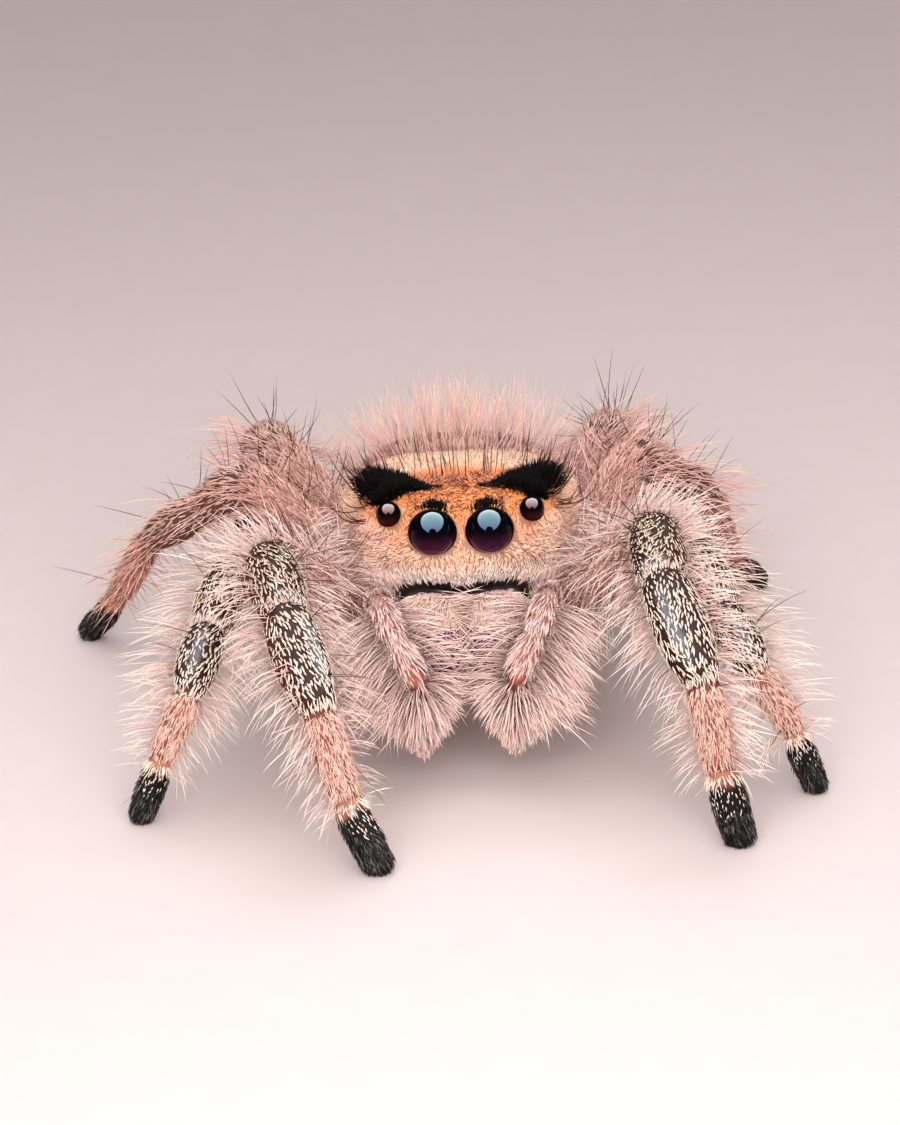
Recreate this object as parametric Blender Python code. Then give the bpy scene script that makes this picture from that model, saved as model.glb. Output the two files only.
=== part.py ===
"""Regal jumping spider, an adult female standing still on eight feet, at life size.

The spider faces -Y and the floor is z = 0.  Every size below is in millimetres and becomes
metres when a mesh is made.  The body plan counts y from the centres of the two large front
eyes towards the abdomen; an empty then carries the whole spider so that the middle of its
footprint stands on the origin.  Left and right are the spider's own: its left is +X.
The solids reach to the tips of the short coat.
"""
import math

import bmesh
import bpy
import numpy as np

MM = 0.001
GAP = 0.06            # clearance between two parts that meet
UP = np.array((0.0, 0.0, 1.0))

# Carapace: one shield over head and thorax.
FACE_Y = -0.12
CARAPACE_MIDDLE_Y = 2.6
CARAPACE_REAR_Y = 5.95
HEAD_HALF_WIDTH = 2.22
THORAX_HALF_WIDTH = 2.52
HEAD_TOP_Z = 5.85
CLYPEUS_Z = 3.86
BELLY_Z = 2.62        # underside of the carapace between the legs
CARAPACE_POWER = (3.0, 2.4)   # squareness of a cross-section above and below its widest line

# Abdomen: a long oval, low and slim.
ABDOMEN_FRONT_Y = 6.15
ABDOMEN_MIDDLE_Y = 9.4
ABDOMEN_REAR_Y = 13.1
ABDOMEN_HALF_WIDTH = 2.45
ABDOMEN_TOP_Z = 3.95
ABDOMEN_BOTTOM_Z = 0.70
ABDOMEN_POWER = (2.4, 2.1)

# Eyes, one of each pair: x, y, z and radius, then the columns and rows of its mesh.
EYES = {
    "front_middle": (0.57, 0.00, 5.08, 0.47, 16, 10),
    "front_side": (1.44, 0.30, 5.39, 0.25, 12, 8),
    "small_middle": (1.66, 1.00, 5.63, 0.10, 8, 6),
    "rear_side": (1.84, 2.40, 5.47, 0.19, 10, 7),
}
SOCKET_GAP = 0.035

# Brows, given for the left side: x, y, z and radius along a ridge of stiff hair that runs
# behind the small eye, and the tip of the tuft in which it ends.
BROW_RIDGE = (
    (0.44, 0.76, 5.76, 0.08),
    (0.85, 0.92, 5.83, 0.17),
    (1.25, 1.18, 5.82, 0.25),
    (1.56, 1.38, 5.80, 0.27),
    (1.77, 1.49, 5.94, 0.27),
    (1.91, 1.53, 6.15, 0.22),
)
BROW_TIP = (2.00, 1.52, 6.42)

# Jaws and palps, given for the left side.
JAW_TOP = (0.66, 0.22, 3.76)
JAW_END = (0.58, 0.10, 1.78)
JAW_HALF_SIZE = (0.57, 0.50)
FANG_TIP = (0.20, 0.42, 1.36)
PALP_JOINTS = ((1.58, 0.92, 2.78), (1.70, -0.62, 3.86), (1.45, -1.08, 3.26), (1.04, -1.26, 2.46))
PALP_TIP = (0.88, -1.16, 0.54)
PALP_WIDTH = 0.62
BRUSH_HALF_SIZE = (0.75, 0.52)    # the palp's last joint with its fan of hair

# Legs: a row for each pair from the front.
SEGMENTS = ("femur", "patella", "tibia", "metatarsus", "tarsus")
HIPS = {1: (1.95, 1.90, 2.75), 2: (2.15, 2.90, 2.70), 3: (2.15, 3.85, 2.70), 4: (1.95, 4.90, 2.75)}
LENGTHS = {
    1: (3.70, 2.20, 2.50, 1.75, 1.35),
    2: (3.25, 1.75, 1.80, 1.40, 1.10),
    3: (3.20, 1.70, 1.90, 1.70, 1.05),
    4: (3.80, 1.90, 2.60, 2.10, 1.20),
}
WIDTHS = {
    1: (1.16, 1.26, 1.24, 0.86, 0.80),
    2: (1.06, 1.10, 1.02, 0.76, 0.66),
    3: (1.04, 1.06, 0.98, 0.74, 0.66),
    4: (1.12, 1.12, 1.02, 0.76, 0.68),
}
FEMUR_DEPTH = 1.14    # a femur is deeper than it is wide
# Stance: heading and slope in degrees of femur, patella, tibia and foot.  A heading is
# measured from straight ahead towards the leg's own side, and a slope is positive upwards.
STANCE = {
    ("right", 1): ((39, 34), (-9, -10), (-17, -32), (-56, -72)),
    ("right", 2): ((57, 23), (18, -24), (14, -24), (68, -63)),
    ("right", 3): ((125, 33), (132, -32), (134, -33), (119, -58)),
    ("right", 4): ((149, 22), (170, -10), (172, -26), (172, -46)),
    ("left", 1): ((41, 38), (1, -6), (20, -37), (64, -80)),
    ("left", 2): ((58, 23), (18, -25), (21, -24), (72, -59)),
    ("left", 3): ((146, 32), (144, -29), (149, -33), (138, -68)),
    ("left", 4): ((162, 18), (172, -8), (174, -24), (172, -42)),
}
# Shape of each segment: thickness at its start, at its end, and the swelling between them.
PROFILES = {
    "femur": (0.70, 0.84, 0.20),
    "patella": (0.86, 0.84, 0.16),
    "tibia": (0.84, 0.70, 0.24),
    "metatarsus": (1.00, 0.88, 0.06),
    "tarsus": (0.94, 0.94, 0.10),
}
COXA_ROOT_X = 0.99
COXA_ROOT_Z = 2.26
COXA_WIDTH = 0.74
TOE_HEIGHT = 0.27     # height of the centre of the round toe, which the floor cuts flat
SIDES = {"left": 1.0, "right": -1.0}
LEG_SIDES = 10
BODY_SIDES = 22

# Finishes: colour, roughness, metallic.
FINISHES = {
    "orange_fur": ((0.62, 0.25, 0.11), 0.85, 0.0),
    "cream_fur": ((0.66, 0.50, 0.38), 0.85, 0.0),
    "mottled_scale": ((0.34, 0.25, 0.20), 0.75, 0.0),
    "salmon_fur": ((0.62, 0.36, 0.28), 0.80, 0.0),
    "black_foot": ((0.02, 0.02, 0.025), 0.60, 0.0),
    "black_lens": ((0.010, 0.008, 0.014), 0.08, 0.0),
    "violet_shell": ((0.16, 0.04, 0.22), 0.30, 0.6),
}
SEGMENT_FINISH = {
    "femur": "mottled_scale",
    "patella": "mottled_scale",
    "tibia": "mottled_scale",
    "metatarsus": "salmon_fur",
    "tarsus": "black_foot",
}


def clear_scene():
    for old in list(bpy.data.objects):
        bpy.data.objects.remove(old)


def make_finishes():
    """One Principled material for each finish."""
    made = {}
    for name, (colour, roughness, metallic) in FINISHES.items():
        material = bpy.data.materials.new(name)
        material.use_nodes = True
        shader = material.node_tree.nodes["Principled BSDF"]
        shader.inputs["Base Color"].default_value = (*colour, 1.0)
        shader.inputs["Roughness"].default_value = roughness
        shader.inputs["Metallic"].default_value = metallic
        material.diffuse_color = (*colour, 1.0)
        made[name] = material
    return made


def mirrored(point, side):
    """The point of the left side, or its mirror image for the right side."""
    return np.array(point, float) * (SIDES[side], 1.0, 1.0)


def blend(start, end, amount):
    """0 at start, 1 at end, with a level entry and exit."""
    t = np.clip((amount - start) / (end - start), 0.0, 1.0)
    return t * t * (3.0 - 2.0 * t)


def closing(distance, length, power):
    """Grows from 0 at an end of the body to 1 at `length` from it, along a superellipse."""
    t = 1.0 - np.clip(distance / length, 0.0, 1.0)
    return (1.0 - t ** power) ** (1.0 / power)


def carapace_section(y):
    """Half width, height of the widest line, rise above it and drop below it, at y."""
    front = y - FACE_Y
    rear = CARAPACE_REAR_Y - y
    width = HEAD_HALF_WIDTH + (THORAX_HALF_WIDTH - HEAD_HALF_WIDTH) * blend(0.8, 3.0, y)
    width = width * closing(front, 1.8, 2.4) * closing(rear, 2.9, 2.2)
    centre = 4.85 - 0.70 * blend(0.2, 2.0, y) - 0.80 * blend(3.4, 5.9, y)
    slope = np.clip((y - 2.4) / 3.5, 0.0, 1.0)
    top = HEAD_TOP_Z - 0.08 * (1.0 - blend(-0.1, 1.0, y)) - 2.05 * slope ** 1.8
    bottom = CLYPEUS_Z - (CLYPEUS_Z - BELLY_Z) * blend(0.3, 1.5, y) + 0.35 * blend(4.6, 5.9, y)
    height = closing(front, 0.9, 3.2) * closing(rear, 1.2, 2.2)
    return width, centre, (top - centre) * height, (centre - bottom) * height


def abdomen_section(y):
    """The same four sizes for the abdomen, whose back slopes down to the rear."""
    front = y - ABDOMEN_FRONT_Y
    rear = ABDOMEN_REAR_Y + 0.15 - y
    width = ABDOMEN_HALF_WIDTH * closing(front, 3.6, 2.2) * closing(rear, 4.2, 2.1)
    centre = 2.60 - 0.35 * blend(8.0, 13.0, y)
    top = ABDOMEN_TOP_Z - 0.60 * blend(8.0, 12.8, y)
    height = closing(front, 2.2, 2.3) * closing(rear, 3.4, 2.1)
    return width, centre, (top - centre) * height, (centre - ABDOMEN_BOTTOM_Z) * height


def body_ring(section, powers, y, sides=BODY_SIDES):
    """A closed cross-section in the plane of y: two half superellipses on one widest line."""
    width, centre, rise, drop = section(y)
    turn = np.arange(sides) * 2.0 * math.pi / sides
    across = np.cos(turn)
    upward = np.sin(turn)
    power = np.where(upward > 0.0, powers[0], powers[1])
    reach = (np.abs(across) ** power + np.abs(upward) ** power) ** (-1.0 / power)
    height = np.where(upward > 0.0, rise, drop)
    return np.column_stack((width * across * reach, np.full(sides, y), centre + height * upward * reach))


def pushed_clear(points, section, powers, gap):
    """Moves the points that lie inside a body, or nearer than the gap, out to its surface."""
    result = points.copy()
    for index, (x, y, z) in enumerate(points):
        width, centre, rise, drop = section(y)
        power = powers[0] if z > centre else powers[1]
        half_width = width + gap
        height = (rise if z > centre else drop) + gap
        depth = (abs(x) / half_width) ** power + (abs(z - centre) / height) ** power
        if 0.0 < depth < 1.0 and width > 0.5:
            scale = depth ** (-1.0 / power)
            result[index] = (x * scale, y, centre + (z - centre) * scale)
    return result


def unit(vector):
    return vector / np.linalg.norm(vector)


def limb_ring(centre, axis, plane_normal, width, depth, power=2.0, sides=LEG_SIDES):
    """An oval across a limb's axis, sheared along the axis into the plane of a joint."""
    across = unit(np.cross(axis, UP))
    upward = np.cross(across, axis)
    turn = (np.arange(sides) + 0.5) * 2.0 * math.pi / sides
    reach = (np.abs(np.cos(turn)) ** power + np.abs(np.sin(turn)) ** power) ** (-1.0 / power)
    offset = np.outer(np.cos(turn) * reach * width / 2.0, across)
    offset = offset + np.outer(np.sin(turn) * reach * depth / 2.0, upward)
    shear = -(offset @ plane_normal) / (axis @ plane_normal)
    return centre + offset + np.outer(shear, axis)


def shell(rings, start_pole=None, end_pole=None):
    """Vertices and faces of a closed body through the rings; an end without a pole is flat."""
    count = len(rings)
    sides = len(rings[0])
    vertices = [point for ring in rings for point in ring]
    faces = []
    for row in range(count - 1):
        for side in range(sides):
            following = (side + 1) % sides
            faces.append((row * sides + side, row * sides + following,
                          (row + 1) * sides + following, (row + 1) * sides + side))
    for pole, row, forward in ((start_pole, 0, False), (end_pole, count - 1, True)):
        edge = [row * sides + side for side in range(sides)]
        if not forward:
            edge.reverse()
        if pole is None:
            faces.append(tuple(edge))
            continue
        vertices.append(pole)
        tip = len(vertices) - 1
        faces.extend((edge[i], edge[(i + 1) % sides], tip) for i in range(sides))
    return np.array(vertices), faces


def add_part(name, vertices, faces, finish, anchor, floor_cut=False):
    """Makes the object at its anchor, in metres, faces outward, and cut level at the floor."""
    anchor = np.array(anchor, float)
    model = bmesh.new()
    made = [model.verts.new((point - anchor) * MM) for point in vertices]
    for face in faces:
        model.faces.new([made[index] for index in face])
    if floor_cut:
        everything = model.verts[:] + model.edges[:] + model.faces[:]
        floor = (0.0, 0.0, -anchor[2] * MM)
        cut = bmesh.ops.bisect_plane(model, geom=everything, dist=1e-8, plane_co=floor,
                                     plane_no=(0.0, 0.0, 1.0), clear_inner=True)
        rim = [item for item in cut["geom_cut"] if isinstance(item, bmesh.types.BMEdge)]
        bmesh.ops.contextual_create(model, geom=rim)
    bmesh.ops.recalc_face_normals(model, faces=model.faces[:])
    mesh = bpy.data.meshes.new(name)
    model.to_mesh(mesh)
    model.free()
    mesh.materials.append(MATERIALS[finish])
    mesh.shade_smooth()
    mesh.set_sharp_from_angle(angle=math.radians(55.0))
    part = bpy.data.objects.new(name, mesh)
    part.location = anchor * MM
    bpy.context.collection.objects.link(part)
    return part


def body_stations(start, middle, end, count, first, last):
    """Values of y that crowd together towards both ends, between two fractions of a turn."""
    turn = np.linspace(first, last, count) * math.pi
    half = np.where(turn < math.pi / 2.0, middle - start, end - middle)
    return middle - half * np.cos(turn)


def add_ball(model, centre, radius, columns, rows):
    bmesh.ops.create_uvsphere(model, u_segments=columns, v_segments=rows, radius=radius * MM)
    fresh = [vertex for vertex in model.verts if not vertex.tag]
    bmesh.ops.translate(model, vec=[value * MM for value in centre], verts=fresh)
    for vertex in fresh:
        vertex.tag = True


def make_brows():
    """Two ridges of stiff hair over the eyes, each rising outward into an upright tuft."""
    brows = bmesh.new()
    for side in SIDES:
        spine = [mirrored(row[:3], side) for row in BROW_RIDGE] + [mirrored(BROW_TIP, side)]
        rings = []
        for index, (*_, radius) in enumerate(BROW_RIDGE):
            axis = unit(spine[index + 1] - spine[max(index - 1, 0)])
            rings.append(limb_ring(spine[index], axis, axis, 2.0 * radius, 2.0 * radius, sides=8))
        vertices, faces = shell(rings, end_pole=spine[-1])
        made = [brows.verts.new(point * MM) for point in vertices]
        for face in faces:
            brows.faces.new([made[index] for index in face])
    bmesh.ops.recalc_face_normals(brows, faces=brows.faces[:])
    return helper_solid("brows", brows)


def helper_solid(name, model):
    """A hidden object that only shapes the carapace."""
    mesh = bpy.data.meshes.new(name)
    model.to_mesh(mesh)
    model.free()
    helper = bpy.data.objects.new(name, mesh)
    helper.hide_render = True
    helper.display_type = "WIRE"
    bpy.context.collection.objects.link(helper)
    return helper


def make_carapace():
    """The shield of head and thorax with its brows, and a round socket for each eye."""
    stations = body_stations(FACE_Y, CARAPACE_MIDDLE_Y, CARAPACE_REAR_Y, 15, 0.055, 0.915)
    rings = [body_ring(carapace_section, CARAPACE_POWER, y) for y in stations]
    face_centre = np.array((0.0, FACE_Y, carapace_section(FACE_Y)[1]))
    vertices, faces = shell(rings, start_pole=face_centre)
    carapace = add_part("carapace", vertices, faces, "orange_fur", (0.0, 0.0, 0.0))
    sockets = bmesh.new()
    for x, y, z, radius, columns, rows in EYES.values():
        for sign in SIDES.values():
            add_ball(sockets, (sign * x, y, z), radius + SOCKET_GAP, columns, rows)
    helpers = {"UNION": make_brows(), "DIFFERENCE": helper_solid("eye_sockets", sockets)}
    for operation, helper in helpers.items():
        change = carapace.modifiers.new(helper.name, "BOOLEAN")
        change.operation = operation
        change.solver = "EXACT"
        change.object = helper
    return [carapace, *helpers.values()], stations[-1]


def make_eyes():
    """Eight eyes, four on each side, each a ball in its socket."""
    eyes = []
    for side, sign in SIDES.items():
        for name, (x, y, z, radius, columns, rows) in EYES.items():
            ball = bmesh.new()
            add_ball(ball, (0.0, 0.0, 0.0), radius, columns, rows)
            mesh = bpy.data.meshes.new(f"eye_{name}_{side}")
            ball.to_mesh(mesh)
            ball.free()
            mesh.materials.append(MATERIALS["black_lens"])
            mesh.shade_smooth()
            eye = bpy.data.objects.new(mesh.name, mesh)
            eye.location = (sign * x * MM, y * MM, z * MM)
            bpy.context.collection.objects.link(eye)
            eyes.append(eye)
    return eyes


def make_abdomen():
    """The long oval abdomen, level-cut where the pedicel and the spinnerets meet it."""
    stations = body_stations(ABDOMEN_FRONT_Y, ABDOMEN_MIDDLE_Y, ABDOMEN_REAR_Y, 13, 0.07, 0.965)
    rings = [body_ring(abdomen_section, ABDOMEN_POWER, y) for y in stations]
    vertices, faces = shell(rings)
    abdomen = add_part("abdomen", vertices, faces, "cream_fur", (0.0, ABDOMEN_MIDDLE_Y, 2.6))
    return abdomen, stations[0], stations[-1]


def make_pedicel(front_y, rear_y):
    """The narrow waist between the carapace and the abdomen."""
    front = np.array((0.0, front_y + GAP, carapace_section(front_y)[1]))
    rear = np.array((0.0, rear_y - GAP, abdomen_section(rear_y)[1]))
    along = np.array((0.0, 1.0, 0.0))
    rings = [limb_ring(front + (rear - front) * t, along, along, width, width)
             for t, width in ((0.0, 0.80), (0.5, 0.66), (1.0, 0.80))]
    vertices, faces = shell(rings)
    return add_part("pedicel", vertices, faces, "cream_fur", front)


def make_spinnerets(start_y):
    """Two pairs of short cones, side by side: a stub whose outline grows four lobes."""
    length = 0.75
    width = 0.84
    centre = np.array((0.0, start_y + GAP, abdomen_section(start_y)[1]))
    along = np.array((0.0, 1.0, 0.0))
    turn = (np.arange(16) + 0.5) * 2.0 * math.pi / 16
    rings = []
    for t in (0.0, 0.5, 1.0):
        ring = limb_ring(centre + along * length * t, along, along, width, width, sides=16)
        lobes = (1.0 - 0.30 * t) * (1.0 - 0.34 * t * np.cos(4.0 * turn))
        middle = centre + along * length * t
        rings.append(middle + (ring - middle) * lobes[:, None])
    tip = centre + along * (length * 0.86)
    vertices, faces = shell(rings, end_pole=tip)
    return add_part("spinnerets", vertices, faces, "mottled_scale", centre)


def oval_plate(name, centre, half_sizes, powers, finish, rows=7, sides=12):
    """A flat rounded plate under the body: superellipse outline, bulging above and below."""
    rings = []
    turn = np.arange(sides) * 2.0 * math.pi / sides
    reach = (np.abs(np.cos(turn)) ** powers[0] + np.abs(np.sin(turn)) ** powers[0]) ** (-1.0 / powers[0])
    outline = np.column_stack((np.cos(turn) * reach * half_sizes[0], np.sin(turn) * reach * half_sizes[1]))
    for height in np.sin(np.linspace(-0.40, 0.40, rows - 2) * math.pi):
        spread = (1.0 - abs(height) ** powers[1]) ** (1.0 / powers[1])
        level = np.full(sides, height * half_sizes[2])
        rings.append(np.column_stack((outline * spread, level)) + np.array(centre))
    vertices, faces = shell(rings)
    return add_part(name, vertices, faces, finish, centre)


def make_jaw(side):
    """A stout upright jaw with its fang folded in behind the tip."""
    top = mirrored(JAW_TOP, side)
    end = mirrored(JAW_END, side)
    fang = mirrored(FANG_TIP, side)
    axis = unit(end - top)
    across = np.array((1.0, 0.0, 0.0))
    forward = np.cross(axis, across)
    turn = (np.arange(12) + 0.5) * 2.0 * math.pi / 12
    reach = (np.abs(np.cos(turn)) ** 2.6 + np.abs(np.sin(turn)) ** 2.6) ** (-1.0 / 2.6)
    oval = np.outer(np.cos(turn) * reach * JAW_HALF_SIZE[0], across)
    oval = oval + np.outer(np.sin(turn) * reach * JAW_HALF_SIZE[1], forward)
    rings = []
    for t in np.linspace(0.0, 1.0, 7):
        size = 0.90 + 0.10 * math.sin(math.pi * t) - 0.22 * t ** 2
        bulge = np.array((0.0, -0.13 * math.sin(math.pi * min(t * 1.15, 1.0)), 0.0))
        rings.append(top + (end - top) * t + bulge + oval * size)
    for t, size in ((0.25, 0.36), (0.62, 0.24), (0.9, 0.14)):
        bend = np.array((0.0, -0.10 * math.sin(math.pi * t), 0.0))
        rings.append(end + (fang - end) * t + bend + oval * size)
    vertices, faces = shell(rings, end_pole=fang)
    return add_part(f"jaw_{side}", vertices, faces, "violet_shell", top)


def limb_rings(start, end, profile, width, depth, start_normal, end_normal, rows=5):
    """Rings of one limb segment, GAP / 2 clear of the joint planes at both of its ends."""
    axis = unit(end - start)
    first = start + axis * GAP / 2.0 / (axis @ start_normal)
    last = end - axis * GAP / 2.0 / (axis @ end_normal)
    rings = []
    for t in np.linspace(0.0, 1.0, rows):
        size = profile[0] * (1.0 - t) + profile[1] * t + profile[2] * math.sin(math.pi * t)
        normal = unit(start_normal * max(0.0, 1.0 - 3.0 * t) + axis + end_normal * max(0.0, 3.0 * t - 2.0))
        if t == 0.0:
            normal = start_normal
        if t == 1.0:
            normal = end_normal
        rings.append(limb_ring(first + (last - first) * t, axis, normal, width * size, depth * size))
    return rings


def joint_normal(before, at, after):
    """Normal of the plane that halves the bend of a limb at a joint."""
    return unit(unit(at - before) + unit(after - at))


def make_palp(side):
    """A palp: the bent arm from beside the mouth, and the last joint with its fan of hair."""
    joints = [mirrored(point, side) for point in PALP_JOINTS]
    tip = mirrored(PALP_TIP, side)
    shoulder_normal = joint_normal(joints[0], joints[1], joints[2])
    elbow_normal = joint_normal(joints[1], joints[2], joints[3])
    wrist_normal = joint_normal(joints[2], joints[3], tip)
    arm = limb_rings(joints[0], joints[1] , (0.80, 0.94, 0.06), PALP_WIDTH, PALP_WIDTH,
                     unit(joints[1] - joints[0]), shoulder_normal, 4)
    arm += limb_rings(joints[1], joints[2], (0.94, 0.90, 0.12), PALP_WIDTH, PALP_WIDTH,
                      shoulder_normal, elbow_normal, 3)[1:]
    arm += limb_rings(joints[2], joints[3], (0.90, 1.05, 0.08), PALP_WIDTH, PALP_WIDTH,
                      elbow_normal, wrist_normal, 3)[1:]
    vertices, faces = shell(arm)
    parts = [add_part(f"palp_{side}_arm", vertices, faces, "salmon_fur", joints[0])]

    axis = unit(tip - joints[3])
    start = joints[3] + axis * GAP / (axis @ wrist_normal)
    rings = []
    for t, size in ((0.0, 0.46), (0.2, 0.72), (0.42, 0.93), (0.62, 1.0), (0.8, 0.84), (0.93, 0.5)):
        normal = wrist_normal if t == 0.0 else axis
        width, depth = (2.0 * size * half for half in BRUSH_HALF_SIZE)
        rings.append(limb_ring(start + (tip - start) * t, axis, normal, width, depth, sides=12))
    vertices, faces = shell(rings, end_pole=tip)
    parts.append(add_part(f"palp_{side}_tip", vertices, faces, "cream_fur", joints[3]))
    return parts


def leg_joints(side, pair):
    """Root, hip, knee, and the ends of patella, tibia, metatarsus and tarsus, worked out
    from the stance; the tarsus takes the slope that brings the toe to the floor."""
    hip = mirrored(HIPS[pair], side)
    middle_y = (HIPS[1][1] + HIPS[4][1]) / 2.0
    root = mirrored((COXA_ROOT_X, middle_y + (HIPS[pair][1] - middle_y) * 0.84, COXA_ROOT_Z), side)
    joints = [root, hip]
    angles = list(STANCE[side, pair])
    for length, (heading, slope) in zip(LENGTHS[pair], angles):
        joints.append(joints[-1] + length * direction(side, heading, slope))
    drop = (TOE_HEIGHT - joints[-1][2]) / LENGTHS[pair][-1]
    slope = math.degrees(math.asin(max(-0.985, drop)))
    joints.append(joints[-1] + LENGTHS[pair][-1] * direction(side, angles[-1][0], slope))
    return joints


def direction(side, heading, slope):
    heading = math.radians(heading)
    slope = math.radians(slope)
    level = math.cos(slope)
    return mirrored((math.sin(heading) * level, -math.cos(heading) * level, math.sin(slope)), side)


def make_leg(side, pair):
    """Five segments: the femur carries the coxa, and the tarsus ends in a toe cut by the floor."""
    joints = leg_joints(side, pair)
    normals = [joint_normal(*joints[i - 1:i + 2]) for i in range(1, len(joints) - 1)]
    parts = []
    for index, segment in enumerate(SEGMENTS):
        start = joints[index + 1]
        end = joints[index + 2]
        width = WIDTHS[pair][index]
        depth = width * (FEMUR_DEPTH if segment == "femur" else 1.0)
        axis = unit(end - start)
        end_normal = normals[index + 1] if index + 1 < len(normals) else axis
        rings = limb_rings(start, end, PROFILES[segment], width, depth, normals[index], end_normal, 5)
        end_pole = None
        if segment == "femur":
            coxa_axis = unit(start - joints[0])
            inner = [limb_ring(joints[0] + (start - joints[0]) * t, coxa_axis, coxa_axis,
                               COXA_WIDTH, COXA_WIDTH) for t in (0.0, 0.6)]
            rings = inner + rings
            rings = [pushed_clear(ring, carapace_section, CARAPACE_POWER, 0.08) for ring in rings]
        if segment == "tarsus":
            radius = width * PROFILES[segment][1] / 2.0
            for turn in (0.55, 1.05):
                size = 2.0 * radius * math.cos(turn)
                rings.append(limb_ring(end + axis * radius * math.sin(turn), axis, axis, size, size))
            end_pole = end + axis * radius
        vertices, faces = shell(rings, end_pole=end_pole)
        parts.append(add_part(f"leg_{side}_{pair}_{segment}", vertices, faces, SEGMENT_FINISH[segment],
                              start, floor_cut=segment == "tarsus"))
    return parts


def carry_on_empty(parts):
    """Parents all parts to an empty that brings the middle of the footprint to the origin."""
    corners = np.array([np.array(part.matrix_basis @ vertex.co)
                        for part in parts for vertex in part.data.vertices])
    middle = (corners.min(axis=0) + corners.max(axis=0)) / 2.0
    spider = bpy.data.objects.new("spider", None)
    spider.location = (-middle[0], -middle[1], 0.0)
    bpy.context.collection.objects.link(spider)
    for part in parts:
        part.parent = spider


clear_scene()
MATERIALS = make_finishes()
shield, shield_end = make_carapace()
abdomen, abdomen_start, abdomen_end = make_abdomen()
spider_parts = [*shield, abdomen, make_pedicel(shield_end, abdomen_start), make_spinnerets(abdomen_end)]
spider_parts += make_eyes()
spider_parts.append(oval_plate("sternum", (0.0, 3.42, 2.24), (0.88, 1.92, 0.30), (2.3, 2.2), "cream_fur"))
spider_parts.append(oval_plate("mouthparts", (0.0, 1.14, 2.36), (0.80, 0.30, 0.46), (2.6, 2.2), "salmon_fur"))
for own_side in SIDES:
    spider_parts.append(make_jaw(own_side))
    spider_parts += make_palp(own_side)
    for leg_pair in HIPS:
        spider_parts += make_leg(own_side, leg_pair)
carry_on_empty(spider_parts)
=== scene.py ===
# %% [markdown]
# # A regal jumping spider
# The solid model of this spider is an adult female standing still on eight feet.  This
# notebook dresses it: a fine skin, glassy eyes, violet jaws, flat scales on the legs and
# soft hair almost everywhere.  On the real animal all of this is grown from one thin shell,
# so every hair here is worked out from the surface that carries it.  Lengths are in
# millimetres until a mesh is made, and Blender works in metres.

# %% Load the solid model
import math

import bpy
import numpy as np
from mathutils import Matrix, Vector


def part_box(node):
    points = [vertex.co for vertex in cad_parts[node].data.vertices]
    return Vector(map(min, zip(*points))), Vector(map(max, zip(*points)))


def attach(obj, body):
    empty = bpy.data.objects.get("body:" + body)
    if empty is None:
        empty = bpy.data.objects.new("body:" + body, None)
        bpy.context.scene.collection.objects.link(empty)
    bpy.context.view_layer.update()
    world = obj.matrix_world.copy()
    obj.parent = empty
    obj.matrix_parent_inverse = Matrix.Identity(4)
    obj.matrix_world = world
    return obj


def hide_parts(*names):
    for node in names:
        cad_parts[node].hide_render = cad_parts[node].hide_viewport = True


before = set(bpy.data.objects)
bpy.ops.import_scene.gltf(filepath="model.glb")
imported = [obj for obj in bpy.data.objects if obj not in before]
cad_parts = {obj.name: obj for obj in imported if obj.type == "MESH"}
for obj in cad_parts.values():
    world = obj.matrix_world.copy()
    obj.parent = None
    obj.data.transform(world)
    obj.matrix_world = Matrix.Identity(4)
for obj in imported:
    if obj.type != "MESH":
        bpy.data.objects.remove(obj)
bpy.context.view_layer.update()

# %% [markdown]
# ## The body plan
# The spider faces -Y.  A body plan counts from the middle of the two large front eyes, with
# z = 0 on the floor, which makes the sizes easy to compare with a real spider.  The place of
# those eyes in the solid model tells where the plan lies in Blender's world.

# %% The body plan
MM = 0.001
EYE_LEVEL = 5.08
SIDES = {"left": 1.0, "right": -1.0}


def middle_of(node):
    """Middle of a solid's box: half the sum of its two corners, in metres."""
    low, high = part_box(node)
    return (np.array(low) + np.array(high)) / 2.0


eye_middle = (middle_of("eye_front_middle_left") + middle_of("eye_front_middle_right")) / 2.0
PLAN_ORIGIN = eye_middle - np.array((0.0, 0.0, EYE_LEVEL * MM))
print("origin of the body plan in metres:", PLAN_ORIGIN)

# %% [markdown]
# ## Colours and small helpers
# Paints are mixed as screen values from 0 to 255 and turned into the linear values that a
# renderer needs.  A few waves in random directions, added up, make a soft mottling that is
# the same on the skin and on the hair above it.


# %% Colours
def paint(red, green, blue):
    """Linear colour of a screen colour: ((c + 0.055) / 1.055) to the power 2.4."""
    screen = np.array((red, green, blue)) / 255.0
    return ((screen + 0.055) / 1.055) ** 2.4


ORANGE = paint(255, 157, 77)
DEEP_ORANGE = paint(246, 132, 55)
SALMON = paint(250, 182, 144)
PEACH = paint(250, 204, 172)
CREAM = paint(255, 238, 214)
# The pink in PINK_CREAM and PALE_ROSE is partly the hair's own tint and partly painted light: the pink glow
# bounced up from a pink ground.
PINK_CREAM = paint(255, 226, 212)
WHITE_HAIR = paint(255, 244, 236)
TAN = paint(214, 170, 140)
GREY_BROWN = paint(146, 114, 100)
DARK_BROWN = paint(46, 22, 18)
RED_BROWN = paint(140, 58, 34)
SOOT = paint(14, 9, 10)
GREY_BLUE = paint(120, 124, 134)
BARE_SALMON = paint(216, 120, 96)
ROSE_SAND = paint(220, 150, 134)
PALE_ROSE = paint(246, 210, 196)


def mix(first, second, amount):
    """first x (1 - amount) + second x amount, for one colour or a list of them."""
    amount = np.clip(np.asarray(amount, float), 0.0, 1.0)[..., None]
    return first * (1.0 - amount) + second * amount


def blend(start, end, amount):
    """0 at start and 1 at end, with a level entry and exit: t x t x (3 - 2 t)."""
    t = np.clip((amount - start) / (end - start), 0.0, 1.0)
    return t * t * (3.0 - 2.0 * t)


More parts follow.
